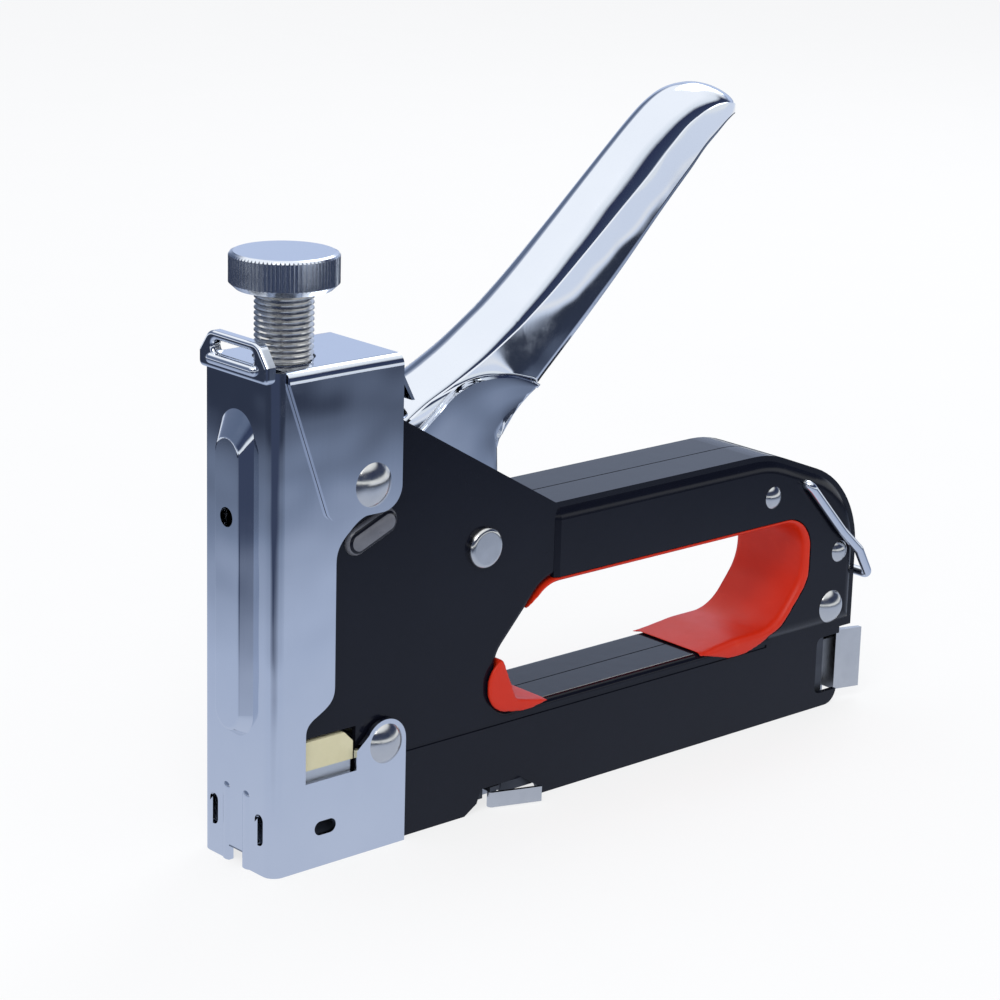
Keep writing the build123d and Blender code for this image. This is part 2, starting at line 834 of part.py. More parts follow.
# ---------------------------------------------------------------- drive spring and plunger
def coil(radius, wire, low, high, turns):
    """Coil spring along Z between two heights, wire included."""
    length = high - low - wire
    path = Helix(pitch=length / turns, height=length, radius=radius)
    section = Plane(origin=path @ 0, z_dir=path % 0) * Circle(wire / 2)
    return Pos(0, 0, low + wire / 2) * sweep(section, path=path, is_frenet=True)


def drive_spring():
    """Compression spring between the seat and the plunger."""
    return Pos(screw_x, 0, 0) * coil(spring_radius, spring_wire, plunger_top, seat_low, spring_turns)


def lifter_angle():
    """Angle of the lifter below the horizontal at rest; it ends as far above it."""
    return lever_travel / 2


def lifter_tip():
    """Centre of the lifter's rounded tip at rest."""
    return turned(pivot_x, pivot_z, lifter_reach, 180 + lifter_angle())


def plunger():
    """Striking weight with a yoke behind it that the lifter's tip pushes up."""
    body = box(plunger_front, plunger_rear, -plunger_half, plunger_half, plunger_low, plunger_top)
    body = chamfer(body.edges().filter_by(Axis.Z), 0.8)
    spigot = Cylinder(
        seat_spigot_radius, plunger_spigot_length, align=(Align.CENTER, Align.CENTER, Align.MIN)
    )
    body += Pos(screw_x, 0, plunger_top) * spigot
    bar_low = lifter_tip()[1] + lifter_tip_radius + free_gap
    bar_top_z = bar_low + yoke_bar
    upper_front = screw_x + spring_radius + spring_wire / 2 + free_gap
    body += box(plunger_rear - 1, yoke_rear, -yoke_half, yoke_half, yoke_low, plunger_top - close_gap)
    body += box(upper_front, yoke_rear, -yoke_half, yoke_half, plunger_top - 1, bar_top_z)
    gap_half = lifter_half + 1.5 * free_gap
    body -= box(plunger_rear, yoke_rear + 1, -gap_half, gap_half, yoke_low - 1, bar_low)
    return body


def driver_blade():
    """Flat blade on the plunger's front face that drives the staple."""
    rear = plunger_front
    return box(rear - blade_thickness, rear, -blade_half, blade_half, blade_low, blade_high)


# ---------------------------------------------------------------- bumper
def bumper_block():
    """Buffer under the plunger; its ends show in the windows of the nose cover."""
    front = channel_front
    rear = window_right - close_gap
    side = polygon(
        [
            (front, bumper_low),
            (rear, bumper_low),
            (rear, bumper_high - bumper_chamfer),
            (rear - bumper_chamfer, bumper_high),
            (front, bumper_high),
        ]
    )
    return across(side, -bumper_half, bumper_half)


def bumper_bracket():
    """Bent plate that carries the buffer on the magazine channel."""
    front = channel_front
    rear = window_right - close_gap - 0.6
    bracket = box(front, rear, -bumper_half, bumper_half, channel_top, bumper_low)
    inside = box(
        front - 1, rear + 1, -bumper_half + bracket_sheet, bumper_half - bracket_sheet, channel_top - 1,
        bumper_low - bracket_sheet,
    )
    return bracket - inside


# ---------------------------------------------------------------- lever
def lever_back(inset):
    """Everything under the arched back of the lever, moved inwards by inset."""
    half = lever_half - inset + 0.15
    sections = []
    for index, (x, z, fall) in enumerate(lever_crest):
        before = lever_crest[max(index - 1, 0)]
        after = lever_crest[min(index + 1, len(lever_crest) - 1)]
        steep = math.hypot(1, (after[1] - before[1]) / (after[0] - before[0]))
        radius = (lever_half**2 + fall**2) / (2 * fall) - inset
        arch = []
        for step in range(-4, 5):
            y = half * step / 4
            arch.append((y, z - steep * (inset + radius - math.sqrt(radius**2 - y**2))))
        low = pivot_z - 2 * lever_boss
        edge = [Spline(*arch), Polyline(arch[-1], (half, low), (-half, low), arch[0])]
        sections.append(Plane.YZ.offset(x) * make_face(edge))
    return loft(sections)


def lever_front_arc(radius):
    """Rounded front end of the lever, which turns past the cap's flap."""
    first, middle, last = 138.0, 129.0, 120.6
    return [turned(pivot_x, pivot_z, radius, angle) for angle in (first, middle, last)]


def over_back():
    """Points of a line that stays above the back of the lever, from its front end to its tip."""
    top = max(z for x, z, fall in lever_crest) + 2
    return [(lever_crest[2][0] + 1, top), (lever_tip_x, top)]


def lever_outline():
    """Side view of the lever below its back: rim, and cheek down to the pivot."""
    front = lever_front_arc(lever_front_radius)
    waist = (53.6, 67.9)
    boss_rear = turned(pivot_x, pivot_z, lever_boss, 5)
    boss_low = turned(pivot_x, pivot_z, lever_boss, 270)
    boss_front = turned(pivot_x, pivot_z, lever_boss, 200)
    return make_face(
        [
            ThreePointArc(*front),
            Polyline(front[2], *over_back(), (lever_tip_x, lever_rim[0][1]), *lever_rim),
            ThreePointArc(lever_rim[-1], (56.0, 76.6), waist),
            Line(waist, boss_rear),
            ThreePointArc(boss_rear, boss_low, boss_front),
            Line(boss_front, front[0]),
        ]
    )


def lever_hollow():
    """Side view of the space inside the lever, open on its underside."""
    front = lever_front_arc(lever_front_radius - lever_sheet)
    low = pivot_z - 2 * lever_boss
    return make_face(
        [
            ThreePointArc(*front),
            Polyline(front[2], *over_back(), (lever_tip_x, low), (front[0][0], low), front[0]),
        ]
    )


def lever_plan(inset):
    """Plan view of the lever with its rounded tip."""
    half = lever_half + 0.2 - inset
    plan = rectangle(0, -2 * lever_half, lever_tip_x - lever_half, 2 * lever_half)
    return upright(plan + Pos(lever_tip_x - lever_half, 0) * Circle(half), 0, 200)


def cheek_recess():
    """Shallow step, curved along its top, that sets the near cheek back from the side wall."""
    front, top, rear = (42.2, 84.6), (54.0, 84.9), lever_rim[-1]
    low = pivot_z - 2 * lever_boss
    face = make_face(
        [
            ThreePointArc(front, top, rear),
            Polyline(rear, (rear[0] + 4, low), (0, low), (0, front[1] - 4), front),
        ]
    )
    return across(face, -2 * lever_half, -lever_half + cheek_step)


def lever():
    """Pressed squeeze lever: arched back, two side walls and two cheeks on the pivot."""
    block = across(lever_outline(), -lever_half, lever_half) & lever_back(0)
    block = block & lever_plan(0)
    inner_half = lever_half - lever_sheet
    space = across(lever_hollow(), -inner_half, inner_half) & lever_back(lever_sheet)
    piece = block - (space & lever_plan(lever_sheet))
    for recess in both_sides(cheek_recess()):
        piece -= recess
    piece -= cross_bar(pivot_x, pivot_z, pivot_radius + running_fit, -cap_half, cap_half)
    piece -= cross_bar(lifter_pin_x, lifter_pin_z, lifter_pin_radius, -cap_half, cap_half)
    return piece


def lifter():
    """Plate between the cheeks: one arm to the lever's pin, one to the plunger's yoke."""
    tip = lifter_tip()
    boss = disc(pivot_x, pivot_z, lever_boss)
    arm = make_hull(boss.edges() + disc(tip[0], tip[1], lifter_tip_radius).edges())
    ear = make_hull(boss.edges() + disc(lifter_pin_x, lifter_pin_z, lifter_ear_radius).edges())
    plate = across(arm + ear, -lifter_half, lifter_half)
    plate -= cross_bar(pivot_x, pivot_z, pivot_radius + running_fit, -lifter_half - 1, lifter_half + 1)
    plate -= cross_bar(lifter_pin_x, lifter_pin_z, lifter_pin_radius, -lifter_half - 1, lifter_half + 1)
    return plate


def lifter_pin():
    """Pin that fixes the lifter in the lever."""
    half = lever_half - cheek_step
    return cross_bar(lifter_pin_x, lifter_pin_z, lifter_pin_radius, -half, half)


def pivot_spacers():
    """Tubes on the pivot pin between the lifter and the cheeks."""
    low = lifter_half + free_gap
    high = lever_half - lever_sheet - free_gap
    tube = cross_bar(pivot_x, pivot_z, pivot_radius + tube_wall, -high, -low)
    tube -= cross_bar(pivot_x, pivot_z, pivot_radius, -high - 1, 0)
    return Compound(children=both_sides(tube))


# ---------------------------------------------------------------- pins and rivets
def lever_pivot_pin():
    """Pivot pin with a flat rounded head on each side."""
    pin = cross_bar(pivot_x, pivot_z, pivot_radius, -body_half, body_half)
    head = cross_bar(pivot_x, pivot_z, pivot_head_radius, -body_half - pivot_head_height, -body_half)
    head = fillet(head.faces().sort_by(Axis.Y)[0].edges(), 0.9)
    for piece in both_sides(head):
        pin += piece
    return pin


def grip_rivets():
    """Two small rivets through the grip, as separate solids of one node."""
    half = body_half + grip_step
    rivets = [
        through_rivet(x, z, half, small_rivet_head, small_rivet_dome, small_rivet_shank)
        for x, z in small_rivet_places
    ]
    return Compound(children=rivets)


def spacer_tube(x, z, shank):
    """Tube on a rivet that keeps the two plates apart."""
    half = body_half + grip_step - body_sheet
    tube = cross_bar(x, z, shank + tube_wall, -half, half)
    return tube - cross_bar(x, z, shank, -half - 1, half + 1)


def grip_spacers():
    """Spacer tubes of the two small rivets."""
    return Compound(children=[spacer_tube(x, z, small_rivet_shank) for x, z in small_rivet_places])


# ---------------------------------------------------------------- finger hole liner
def liner_space():
    """Side view of the free space inside the liner; its upper and lower ends run out of the hole."""
    front = hole_front + liner_front_run
    top = hole_top - close_gap - liner_top_wall
    rear = hole_rear - close_gap - liner_rear_wall
    low = bar_top + close_gap + liner_low_wall
    heel_end = hole_low_rear - liner_heel_length
    face = polygon(
        [
            (hole_front - 4.4, bar_top - 2),
            (hole_front - 4.4, hole_knee_z - 2.6),
            (front, hole_knee_z + 6.0),
            (hole_top_front + 0.4, top),
            (rear, top),
            (rear, hole_rear_knee + 0.8),
            (hole_low_rear - 0.8, low),
            (heel_end + liner_heel_thin, low),
            (heel_end, bar_top + close_gap + liner_tip_wall),
            (heel_end, bar_top - 2),
        ]
    )
    for x, z, radius in (
        (hole_top_front + 0.4, top, 7.0),
        (rear, top, 6.3),
        (rear, hole_rear_knee + 0.8, 10.0),
        (hole_low_rear - 0.8, low, 10.0),
        (heel_end + liner_heel_thin, low, 30.0),
    ):
        face = fillet(face.vertices().sort_by_distance((x, z, 0))[:1], radius)
    return face


def toe_space():
    """Side view of the free space above the toe, which thins out to its rear end."""
    front = hole_front + close_gap + liner_low_wall
    low = bar_top + close_gap + liner_low_wall
    end = hole_front + liner_toe_length
    thin = bar_top + close_gap + liner_tip_wall
    face = polygon(
        [
            (front, hole_top),
            (front, low + 4.5),
            (front + 4.2, low),
            (end, thin),
            (end + 5, thin),
            (end + 5, hole_top),
        ]
    )
    for x, z in ((front, low + 4.5), (front + 4.2, low)):
        face = fillet(face.vertices().sort_by_distance((x, z, 0))[:1], 5.0)
    return face


def rounded_void(face, half):
    """Space across the tool that widens softly towards both of its ends at y = +-half."""
    step = liner_edge_depth / 2
    wider = offset(face, amount=step * math.tan(math.radians(liner_edge_first)))
    void = across(face, -half + 2 * step, half - 2 * step)
    first = extrude(Plane.XZ.offset(half - 2 * step) * face, amount=step, taper=-liner_edge_first)
    second = extrude(Plane.XZ.offset(half - step) * wider, amount=step, taper=-liner_edge_second)
    for flare in (first, second):
        for piece in both_sides(flare):
            void += piece
    return void


def grip_liner():
    """Moulded liner round the finger hole with lips over the plates at its two lower ends."""
    hole = offset(finger_hole(), amount=-close_gap)
    half = body_half + liner_lip
    heel_end = hole_low_rear - liner_heel_length
    toe_end = hole_front + liner_toe_length
    liner = across(hole, -half, half) - rounded_void(liner_space(), half)
    toe_top = hole_knee_z - liner_toe_drop
    corner = hole & rectangle(hole_front - 1, bar_top - 1, toe_end, toe_top)
    toe = across(corner, -half, half) - rounded_void(toe_space(), half)
    thin = hole - offset(finger_hole(), amount=-close_gap - liner_bridge_wall)
    bridge = thin & rectangle(hole_front - 1, hole_knee_z - 3, hole_top_front + 1, hole_top - 1)
    liner = liner + toe + across(bridge, -liner_bridge_half, liner_bridge_half)
    toe_lip = make_face(
        [
            ThreePointArc((hole_front + 0.4, toe_top), (hole_front - 2.8, bar_top + 5.0), (57.0, 19.2)),
            Spline((57.0, 19.2), (62.0, 18.6), (toe_end, bar_top + close_gap)),
            Line((toe_end, bar_top + close_gap), (hole_front + 4.6, bar_top + 2)),
            Line((hole_front + 4.6, bar_top + 2), (hole_front + 1.0, toe_top)),
            Line((hole_front + 1.0, toe_top), (hole_front + 0.4, toe_top)),
        ]
    )
    side_end = hole_low_rear - liner_heel_side
    low = bar_top - liner_heel_drop
    heel_lip = make_face(
        [
            Spline(
                (hole_low_rear - 3.0, bar_top - 0.3),
                (hole_low_rear - 7.5, bar_top - 1.8),
                (side_end + 1.5, low),
                (side_end, low + 0.2),
            ),
            Line((side_end, low + 0.2), (heel_end, bar_top + close_gap)),
            Line((heel_end, bar_top + close_gap), (hole_low_rear - 3.0, bar_top + close_gap)),
            Line((hole_low_rear - 3.0, bar_top + close_gap), (hole_low_rear - 3.0, bar_top - 0.3)),
        ]
    )
    for lip in (toe_lip, heel_lip):
        plate = across(lip, -half, -body_half - close_gap)
        for piece in both_sides(plate):
            liner += piece
    return liner


# ---------------------------------------------------------------- wire bail
def lock_bail():
    """Bent wire loop, hinged on the body, that swings up over the closed lever."""
    side = body_half + grip_step + free_gap + bail_wire / 2
    inner = body_half - body_sheet + 0.2
    path = FilletPolyline(
        (bail_pivot_x, -inner, bail_pivot_z),
        (bail_pivot_x, -side, bail_pivot_z),
        (bail_kink_x, -side, bail_kink_z),
        (bail_bow_x, -side, bail_bow_z),
        (bail_end_x, -side, bail_end_z),
        (bail_end_x, side, bail_end_z),
        (bail_bow_x, side, bail_bow_z),
        (bail_kink_x, side, bail_kink_z),
        (bail_pivot_x, side, bail_pivot_z),
        (bail_pivot_x, inner, bail_pivot_z),
        radius=bail_bend,
    )
    section = Plane(origin=path @ 0, z_dir=path % 0) * Circle(bail_wire / 2)
    return sweep(section, path=path, transition=Transition.RIGHT)


# ---------------------------------------------------------------- magazine
def folded_channel(front, rear, half, low, top, sheet):
    """Sheet folded to an upside-down U."""
    outside = box(front, rear, -half, half, low, top)
    inside = box(front - 1, rear + 1, -half + sheet, half - sheet, low - 1, top - sheet)
    return outside - inside


def magazine_channel():
    """Fixed channel that guides the staples, with a lug on each side for the catch."""
    channel = folded_channel(
        channel_front, channel_rear, channel_half, channel_low, channel_top, channel_sheet
    )
    foot_reach = body_half - body_sheet - close_gap
    for side in (-1, 1):
        ends = sorted((side * (channel_half - channel_sheet), side * foot_reach))
        feet = ((body_nose_rear + 1, catch_notch_front - 2), (catch_notch_rear + 2, recess_front - 2))
        for front, rear in feet:
            channel += box(front, rear, ends[0], ends[1], channel_low, channel_low + channel_sheet)
        lug_ends = sorted((side * (channel_half - channel_sheet), side * (catch_y + catch_pin_radius + 0.4)))
        lug_low = catch_high + free_gap
        half = catch_eye_radius + 0.3
        channel -= box(catch_x - half, catch_x + 3 * half, ends[0], ends[1], 0, lug_low)
        channel += box(catch_x - half, catch_x + half, lug_ends[0], lug_ends[1], lug_low, lug_low + catch_lug)
        channel -= Pos(catch_x, side * catch_y, lug_low) * Cylinder(catch_pin_radius, 4 * catch_lug)
    return channel


def magazine_rail():
    """Drawer rail that the staples sit on, closed at its front end."""
    rail = folded_channel(rail_front, clip_front, rail_half, rail_low, rail_top, rail_sheet)
    rail += box(rail_front, rail_front + rail_sheet, -rail_half, rail_half, rail_low, rail_top)
    slot = box(rail_slot_front, rail_slot_rear, -rail_slot_half, rail_slot_half, rod_z, rail_top + 1)
    return rail - slot


def tail_clip():
    """Bent end piece of the drawer with two flared wings to pull it by."""
    web_rear = clip_front + clip_web
    wing = polygon(
        [
            (clip_front, -clip_half),
            (web_rear, -clip_half + 1.2),
            (tool_length, -clip_half - clip_flare + clip_web),
            (tool_length, -clip_half - clip_flare),
            (web_rear, -clip_half - 0.3),
        ]
    )
    clip = box(clip_front, web_rear, -clip_half, clip_half, clip_low, clip_high)
    for piece in both_sides(upright(wing, clip_low, clip_high)):
        clip += piece
    return clip


def pusher_rod():
    """Guide rod of the pusher inside the rail."""
    front = rail_front + rail_sheet
    return Pos(front, 0, rod_z) * Rot(0, 90, 0) * Cylinder(
        rod_radius, clip_front - front, align=(Align.CENTER, Align.CENTER, Align.MIN)
    )


def pusher_front():
    """Front end of the pusher when the magazine is empty."""
    return rail_front + 0.4


def staple_pusher():
    """Saddle on the rail that pushes the staples forward, with a tongue to the guide rod."""
    front = pusher_front()
    half = rail_half + free_gap + pusher_sheet
    top = rail_top + free_gap + pusher_sheet
    saddle = folded_channel(front, front + pusher_length, half, pusher_low, top, pusher_sheet)
    tongue_front = front + pusher_length / 2
    tongue_rear = tongue_front + tongue_thickness
    saddle += box(tongue_front, tongue_rear, -tongue_half, tongue_half, rod_z, top - pusher_sheet / 2)
    ring = Pos(tongue_front, 0, rod_z) * Rot(0, 90, 0) * Cylinder(
        rod_ring_radius, tongue_thickness, align=(Align.CENTER, Align.CENTER, Align.MIN)
    )
    saddle += ring
    bore = Cylinder(rod_radius + running_fit, 4 * tongue_thickness)
    bore = Pos(tongue_front, 0, rod_z) * Rot(0, 90, 0) * bore
    return saddle - bore


def pusher_spring():
    """Light coil spring on the guide rod, behind the pusher's tongue."""
    start = pusher_front() + pusher_length / 2 + tongue_thickness + close_gap
    end = clip_front - close_gap
    length = end - start
    turns = round((length - pusher_spring_wire) / pusher_spring_pitch)
    spring = coil(pusher_spring_radius, pusher_spring_wire, 0, length, turns)
    return Pos(start, 0, rod_z) * Rot(0, 90, 0) * spring


# ---------------------------------------------------------------- drawer catch
def catch_tab():
    """Finger tab on the near side: an eye on its pin and a leaf that stands out of the body."""
    run = catch_reach_x - catch_x
    start_y = catch_y + catch_eye_radius - catch_leaf / 2
    rise = catch_reach_y - start_y
    length = math.hypot(run, rise)
    slope = -math.degrees(math.atan2(rise, run))
    leaf = rectangle(0, -catch_leaf / 2, length, catch_leaf / 2)
    leaf = Pos(catch_x, -start_y) * Rot(0, 0, slope) * leaf
    eye = Pos(catch_x, -catch_y) * Circle(catch_eye_radius)
    tab = upright(leaf + eye, catch_low, catch_high)
    tab -= Pos(catch_x, -catch_y, catch_low) * Cylinder(catch_pin_radius + running_fit, 4 * catch_high)
    return tab


def catch_pins():
    """Upright pins of the two finger tabs, held in the channel's lugs."""
    top = catch_high + free_gap + catch_lug
    pin = Pos(catch_x, -catch_y, catch_low) * Cylinder(
        catch_pin_radius, top - catch_low, align=(Align.CENTER, Align.CENTER, Align.MIN)
    )
    return Compound(children=both_sides(pin))


# ---------------------------------------------------------------- all pieces
def finish(piece):
    """Move a piece so that the middle of the tool's length, raised rib included, is at x = 0."""
    return Pos(-(tool_length - rib_height) / 2, 0, 0) * piece


os.makedirs("parts", exist_ok=True)
left_half = body_half_shell()
near_tab = catch_tab()
export_step(finish(left_half), "parts/shell_left.step")
export_step(finish(mirror(left_half, about=Plane.XZ)), "parts/shell_right.step")
export_step(finish(nose_cover()), "parts/nose_cover.step")
export_step(finish(top_cap()), "parts/top_cap.step")
export_step(finish(cap_nut()), "parts/cap_nut.step")
export_step(finish(tension_screw()), "parts/tension_screw.step")
export_step(finish(tension_knob()), "parts/tension_knob.step")
export_step(finish(spring_seat()), "parts/spring_seat.step")
export_step(finish(drive_spring()), "parts/drive_spring.step")
export_step(finish(plunger()), "parts/plunger.step")
export_step(finish(driver_blade()), "parts/driver_blade.step")
export_step(finish(bumper_block()), "parts/bumper_block.step")
export_step(finish(bumper_bracket()), "parts/bumper_bracket.step")
export_step(finish(lever()), "parts/lever.step")
export_step(finish(lifter()), "parts/lifter.step")
export_step(finish(lifter_pin()), "parts/lifter_pin.step")
export_step(finish(pivot_spacers()), "parts/pivot_spacers.step")
export_step(finish(lever_pivot_pin()), "parts/lever_pivot_pin.step")
cap_rivet = through_rivet(cap_rivet_x, cap_rivet_z, cap_half, cap_rivet_head, dome_height, cap_rivet_shank)
export_step(finish(cap_rivet), "parts/cap_rivet.step")
nose_rivet = through_rivet(
    nose_rivet_x, nose_rivet_z, cover_half, nose_rivet_head, dome_height, nose_rivet_shank
)
export_step(finish(nose_rivet), "parts/nose_rivet.step")
rear_rivet = through_rivet(
    rear_rivet_x, rear_rivet_z, body_half + grip_step, rear_rivet_head, dome_height, rear_rivet_shank
)
export_step(finish(rear_rivet), "parts/rear_rivet.step")
export_step(finish(grip_rivets()), "parts/grip_rivets.step")
export_step(finish(grip_spacers()), "parts/grip_spacers.step")
export_step(finish(spacer_tube(rear_rivet_x, rear_rivet_z, rear_rivet_shank)), "parts/rear_spacer.step")
export_step(finish(grip_liner()), "parts/grip_liner.step")
export_step(finish(lock_bail()), "parts/lock_bail.step")
export_step(finish(magazine_channel()), "parts/magazine_channel.step")
export_step(finish(magazine_rail()), "parts/magazine_rail.step")
export_step(finish(tail_clip()), "parts/tail_clip.step")
export_step(finish(pusher_rod()), "parts/pusher_rod.step")
export_step(finish(staple_pusher()), "parts/staple_pusher.step")
export_step(finish(pusher_spring()), "parts/pusher_spring.step")
export_step(finish(near_tab), "parts/catch_tab_left.step")
export_step(finish(mirror(near_tab, about=Plane.XZ)), "parts/catch_tab_right.step")
export_step(finish(catch_pins()), "parts/catch_pins.step")
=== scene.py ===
"""Hand staple gun: finishes, detailed pieces, light and camera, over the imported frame. Metres."""
import bpy
import bmesh
import json
import math
from mathutils import Matrix, Vector


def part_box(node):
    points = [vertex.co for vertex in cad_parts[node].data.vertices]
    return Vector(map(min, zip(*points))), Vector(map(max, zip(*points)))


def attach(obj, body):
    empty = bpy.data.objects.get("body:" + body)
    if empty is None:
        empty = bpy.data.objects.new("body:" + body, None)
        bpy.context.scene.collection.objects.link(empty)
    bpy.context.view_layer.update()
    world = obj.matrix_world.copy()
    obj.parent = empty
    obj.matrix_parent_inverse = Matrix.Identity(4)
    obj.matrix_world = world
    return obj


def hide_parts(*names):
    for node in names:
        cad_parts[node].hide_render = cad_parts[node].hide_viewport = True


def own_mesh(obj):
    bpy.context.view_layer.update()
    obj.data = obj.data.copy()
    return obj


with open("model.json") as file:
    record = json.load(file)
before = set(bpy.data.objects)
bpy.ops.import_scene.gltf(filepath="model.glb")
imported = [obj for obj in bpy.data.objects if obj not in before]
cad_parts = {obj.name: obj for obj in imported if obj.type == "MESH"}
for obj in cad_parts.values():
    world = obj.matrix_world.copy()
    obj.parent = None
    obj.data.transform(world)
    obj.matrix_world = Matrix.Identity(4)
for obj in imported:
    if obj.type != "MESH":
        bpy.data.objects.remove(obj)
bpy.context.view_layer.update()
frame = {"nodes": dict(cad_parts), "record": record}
nodes = frame["nodes"]

MM = 0.001
FRAME_SHIFT = -77.85            # mm: where the tool's own X zero stands in the frame


# ---------------------------------------------------------------- shader maths
class Signal:
    """An output socket of a shader tree; arithmetic on it adds Math nodes."""

    def __init__(self, tree, socket):
        self.tree = tree
        self.socket = socket

    def maths(self, operation, first, second=None, clamp=False):
        node = self.tree.nodes.new("ShaderNodeMath")
        node.operation = operation
        node.use_clamp = clamp
        for place, value in zip(node.inputs, (first, second)):
            if isinstance(value, Signal):
                self.tree.links.new(value.socket, place)
            elif value is not None:
                place.default_value = value
        return Signal(self.tree, node.outputs[0])

    def __add__(self, other):
        return self.maths("ADD", self, other)

    def __sub__(self, other):
        return self.maths("SUBTRACT", self, other)

    def __mul__(self, other):
        return self.maths("MULTIPLY", self, other)

    def __pow__(self, other):
        return self.maths("POWER", self, other)

    def __radd__(self, other):
        return self.maths("ADD", other, self)

    def __rsub__(self, other):
        return self.maths("SUBTRACT", other, self)

    def __rmul__(self, other):
        return self.maths("MULTIPLY", other, self)

    def size(self):
        return self.maths("ABSOLUTE", self)

    def held(self):
        """The value kept between 0 and 1."""
        return self.maths("MULTIPLY", self, 1.0, clamp=True)


def with_alpha(colour):
    """A colour's link as it is, or its three numbers with full alpha."""
    return colour if isinstance(colour, Signal) else (*colour, 1.0)


class Tree:
    """A node tree of a material or a world, written as Python expressions."""

    def __init__(self, owner):
        owner.use_nodes = True
        self.tree = owner.node_tree
        self.tree.nodes.clear()

    def node(self, kind, settings=None, inputs=None, output=0):
        """Add a node, set its settings first and then the values or links of its sockets."""
        node = self.tree.nodes.new("ShaderNode" + kind)
        for name, value in (settings or {}).items():
            if name == "stops":
                elements = node.color_ramp.elements
                while len(elements) < len(value):
                    elements.new(0.5)
                for element, (place, colour) in zip(elements, value):
                    element.position = place
                    element.color = with_alpha(colour)
            else:
                setattr(node, name, value)
        for name, value in (inputs or {}).items():
            socket = node.inputs[name]
            if isinstance(value, Signal):
                self.tree.links.new(value.socket, socket)
            else:
                socket.default_value = value
        return Signal(self.tree, node.outputs[output]) if len(node.outputs) else None

    def noise(self, scale, detail=3.0, rough=0.55, stretch=None):
        """Grey noise over the piece, 0 to 1; stretch scales its coordinates along X, Y and Z."""
        where = self.node("TexCoord", output="Object")
        if stretch:
            where = self.node("Mapping", inputs={"Vector": where, "Scale": stretch})
        return self.node(
            "TexNoise",
            inputs={"Vector": where, "Scale": scale, "Detail": detail, "Roughness": rough},
        )

    def coordinate(self, axis, source="Object"):
        """One coordinate of the piece's own frame in metres, or of another source."""
        where = self.node("TexCoord", output=source)
        return self.node("SeparateXYZ", inputs={"Vector": where}, output=axis)

    def ray(self, kind):
        """1 for light rays of one kind: Camera, Glossy or Transmission."""
        return self.node("LightPath", output=f"Is {kind} Ray")

    def blend(self, factor, low, high):
        """Colour between low and high."""
        first, second = with_alpha(low), with_alpha(high)
        return self.node(
            "Mix", {"data_type": "RGBA"}, {0: factor, 6: first, 7: second}, output=2
        )

    def bands(self, place, stops):
        """Colour by a value from 0 to 1, along the stops of a ramp."""
        return self.node("ValToRGB", {"stops": stops}, {"Fac": place})

    def glow(self, colour):
        return self.node("Emission", inputs={"Color": with_alpha(colour), "Strength": 1.0})

    def bump(self, height, strength, distance):
        inputs = {"Height": height, "Strength": strength, "Distance": distance}
        return self.node("Bump", inputs=inputs)


# ---------------------------------------------------------------- finishes
def finish_of(name, colour, rough, bumps, metal=0.0, ior=1.5):
    """Material with one Principled shader; functions of its tree make colour, rough and bumps."""
    material = bpy.data.materials.new(name)
    tree = Tree(material)
    shader = tree.node(
        "BsdfPrincipled",
        inputs={
            "Base Color": colour(tree),
            "Roughness": rough(tree),
            "Metallic": metal,
            "Normal": bumps(tree),
            "IOR": ior,
        },
    )
    tree.node("OutputMaterial", inputs={"Surface": shader})
    return material


def body_paint():
    """Blue-black gloss paint with a faint orange peel, dust and rubbed patches."""
    deep, worn, dust = (0.0035, 0.0042, 0.0085), (0.0060, 0.0070, 0.0135), (0.06, 0.07, 0.09)

    def colour(tree):
        patches = tree.blend(tree.noise(55, 5, 0.6), deep, worn)
        specks = (tree.noise(2600, 2, 0.5) - 0.72).held() * 1.6
        return tree.blend(specks, patches, dust)

    def rough(tree):
        dull_specks = (tree.noise(1500, 2, 0.5) - 0.62).held() * 0.5
        return 0.10 + tree.noise(90, 4, 0.6) * 0.10 + dull_specks

    def orange_peel(tree):
        return tree.bump(tree.noise(300, 2, 0.5), 0.08, 0.2 * MM)

    return finish_of("body_paint", colour, rough, orange_peel, ior=1.33)


def button_highlight_paint():
    """The same paint lightened to a grey shine: a painted highlight on the pressed buttons."""
    # painted highlight: both greys are far lighter than the body paint, standing in for the light
    # the button's rounded top catches
    dark, highlight_tone = (0.075, 0.078, 0.095), (0.17, 0.175, 0.20)

    def colour(tree):
        return tree.blend(tree.noise(220, 5, 0.65), dark, highlight_tone)

    def rough(tree):
        return 0.20 + tree.noise(300, 4, 0.6) * 0.20

    def bumps(tree):
        return tree.bump(tree.noise(700, 3, 0.6), 0.10, 0.1 * MM)

    return finish_of("button_highlight_paint", colour, rough, bumps, ior=1.6)


def chrome(name="chrome", least_rough=0.050):
    """Bright plate on pressed sheet: slightly wavy, with polishing lines and finger marks."""
    cool, bright = (0.66, 0.70, 0.77), (0.76, 0.79, 0.84)

    def colour(tree):
        return tree.blend(tree.noise(38, 4, 0.6), cool, bright)

    def rough(tree):
        finger_marks = (tree.noise(130, 6, 0.65) - 0.50).held()
        lines = tree.noise(700, 2, 0.5, (1.0, 1.0, 0.04))
        return least_rough + finger_marks * 0.34 + lines * 0.02

    def bumps(tree):
        wave = tree.noise(60, 1, 0.4)
        scratch = tree.noise(1500, 2, 0.5, (1.0, 1.0, 0.03))
        return tree.bump(wave + scratch * 0.010, 0.30, 1.6 * MM)

    return finish_of(name, colour, rough, bumps, metal=1.0)


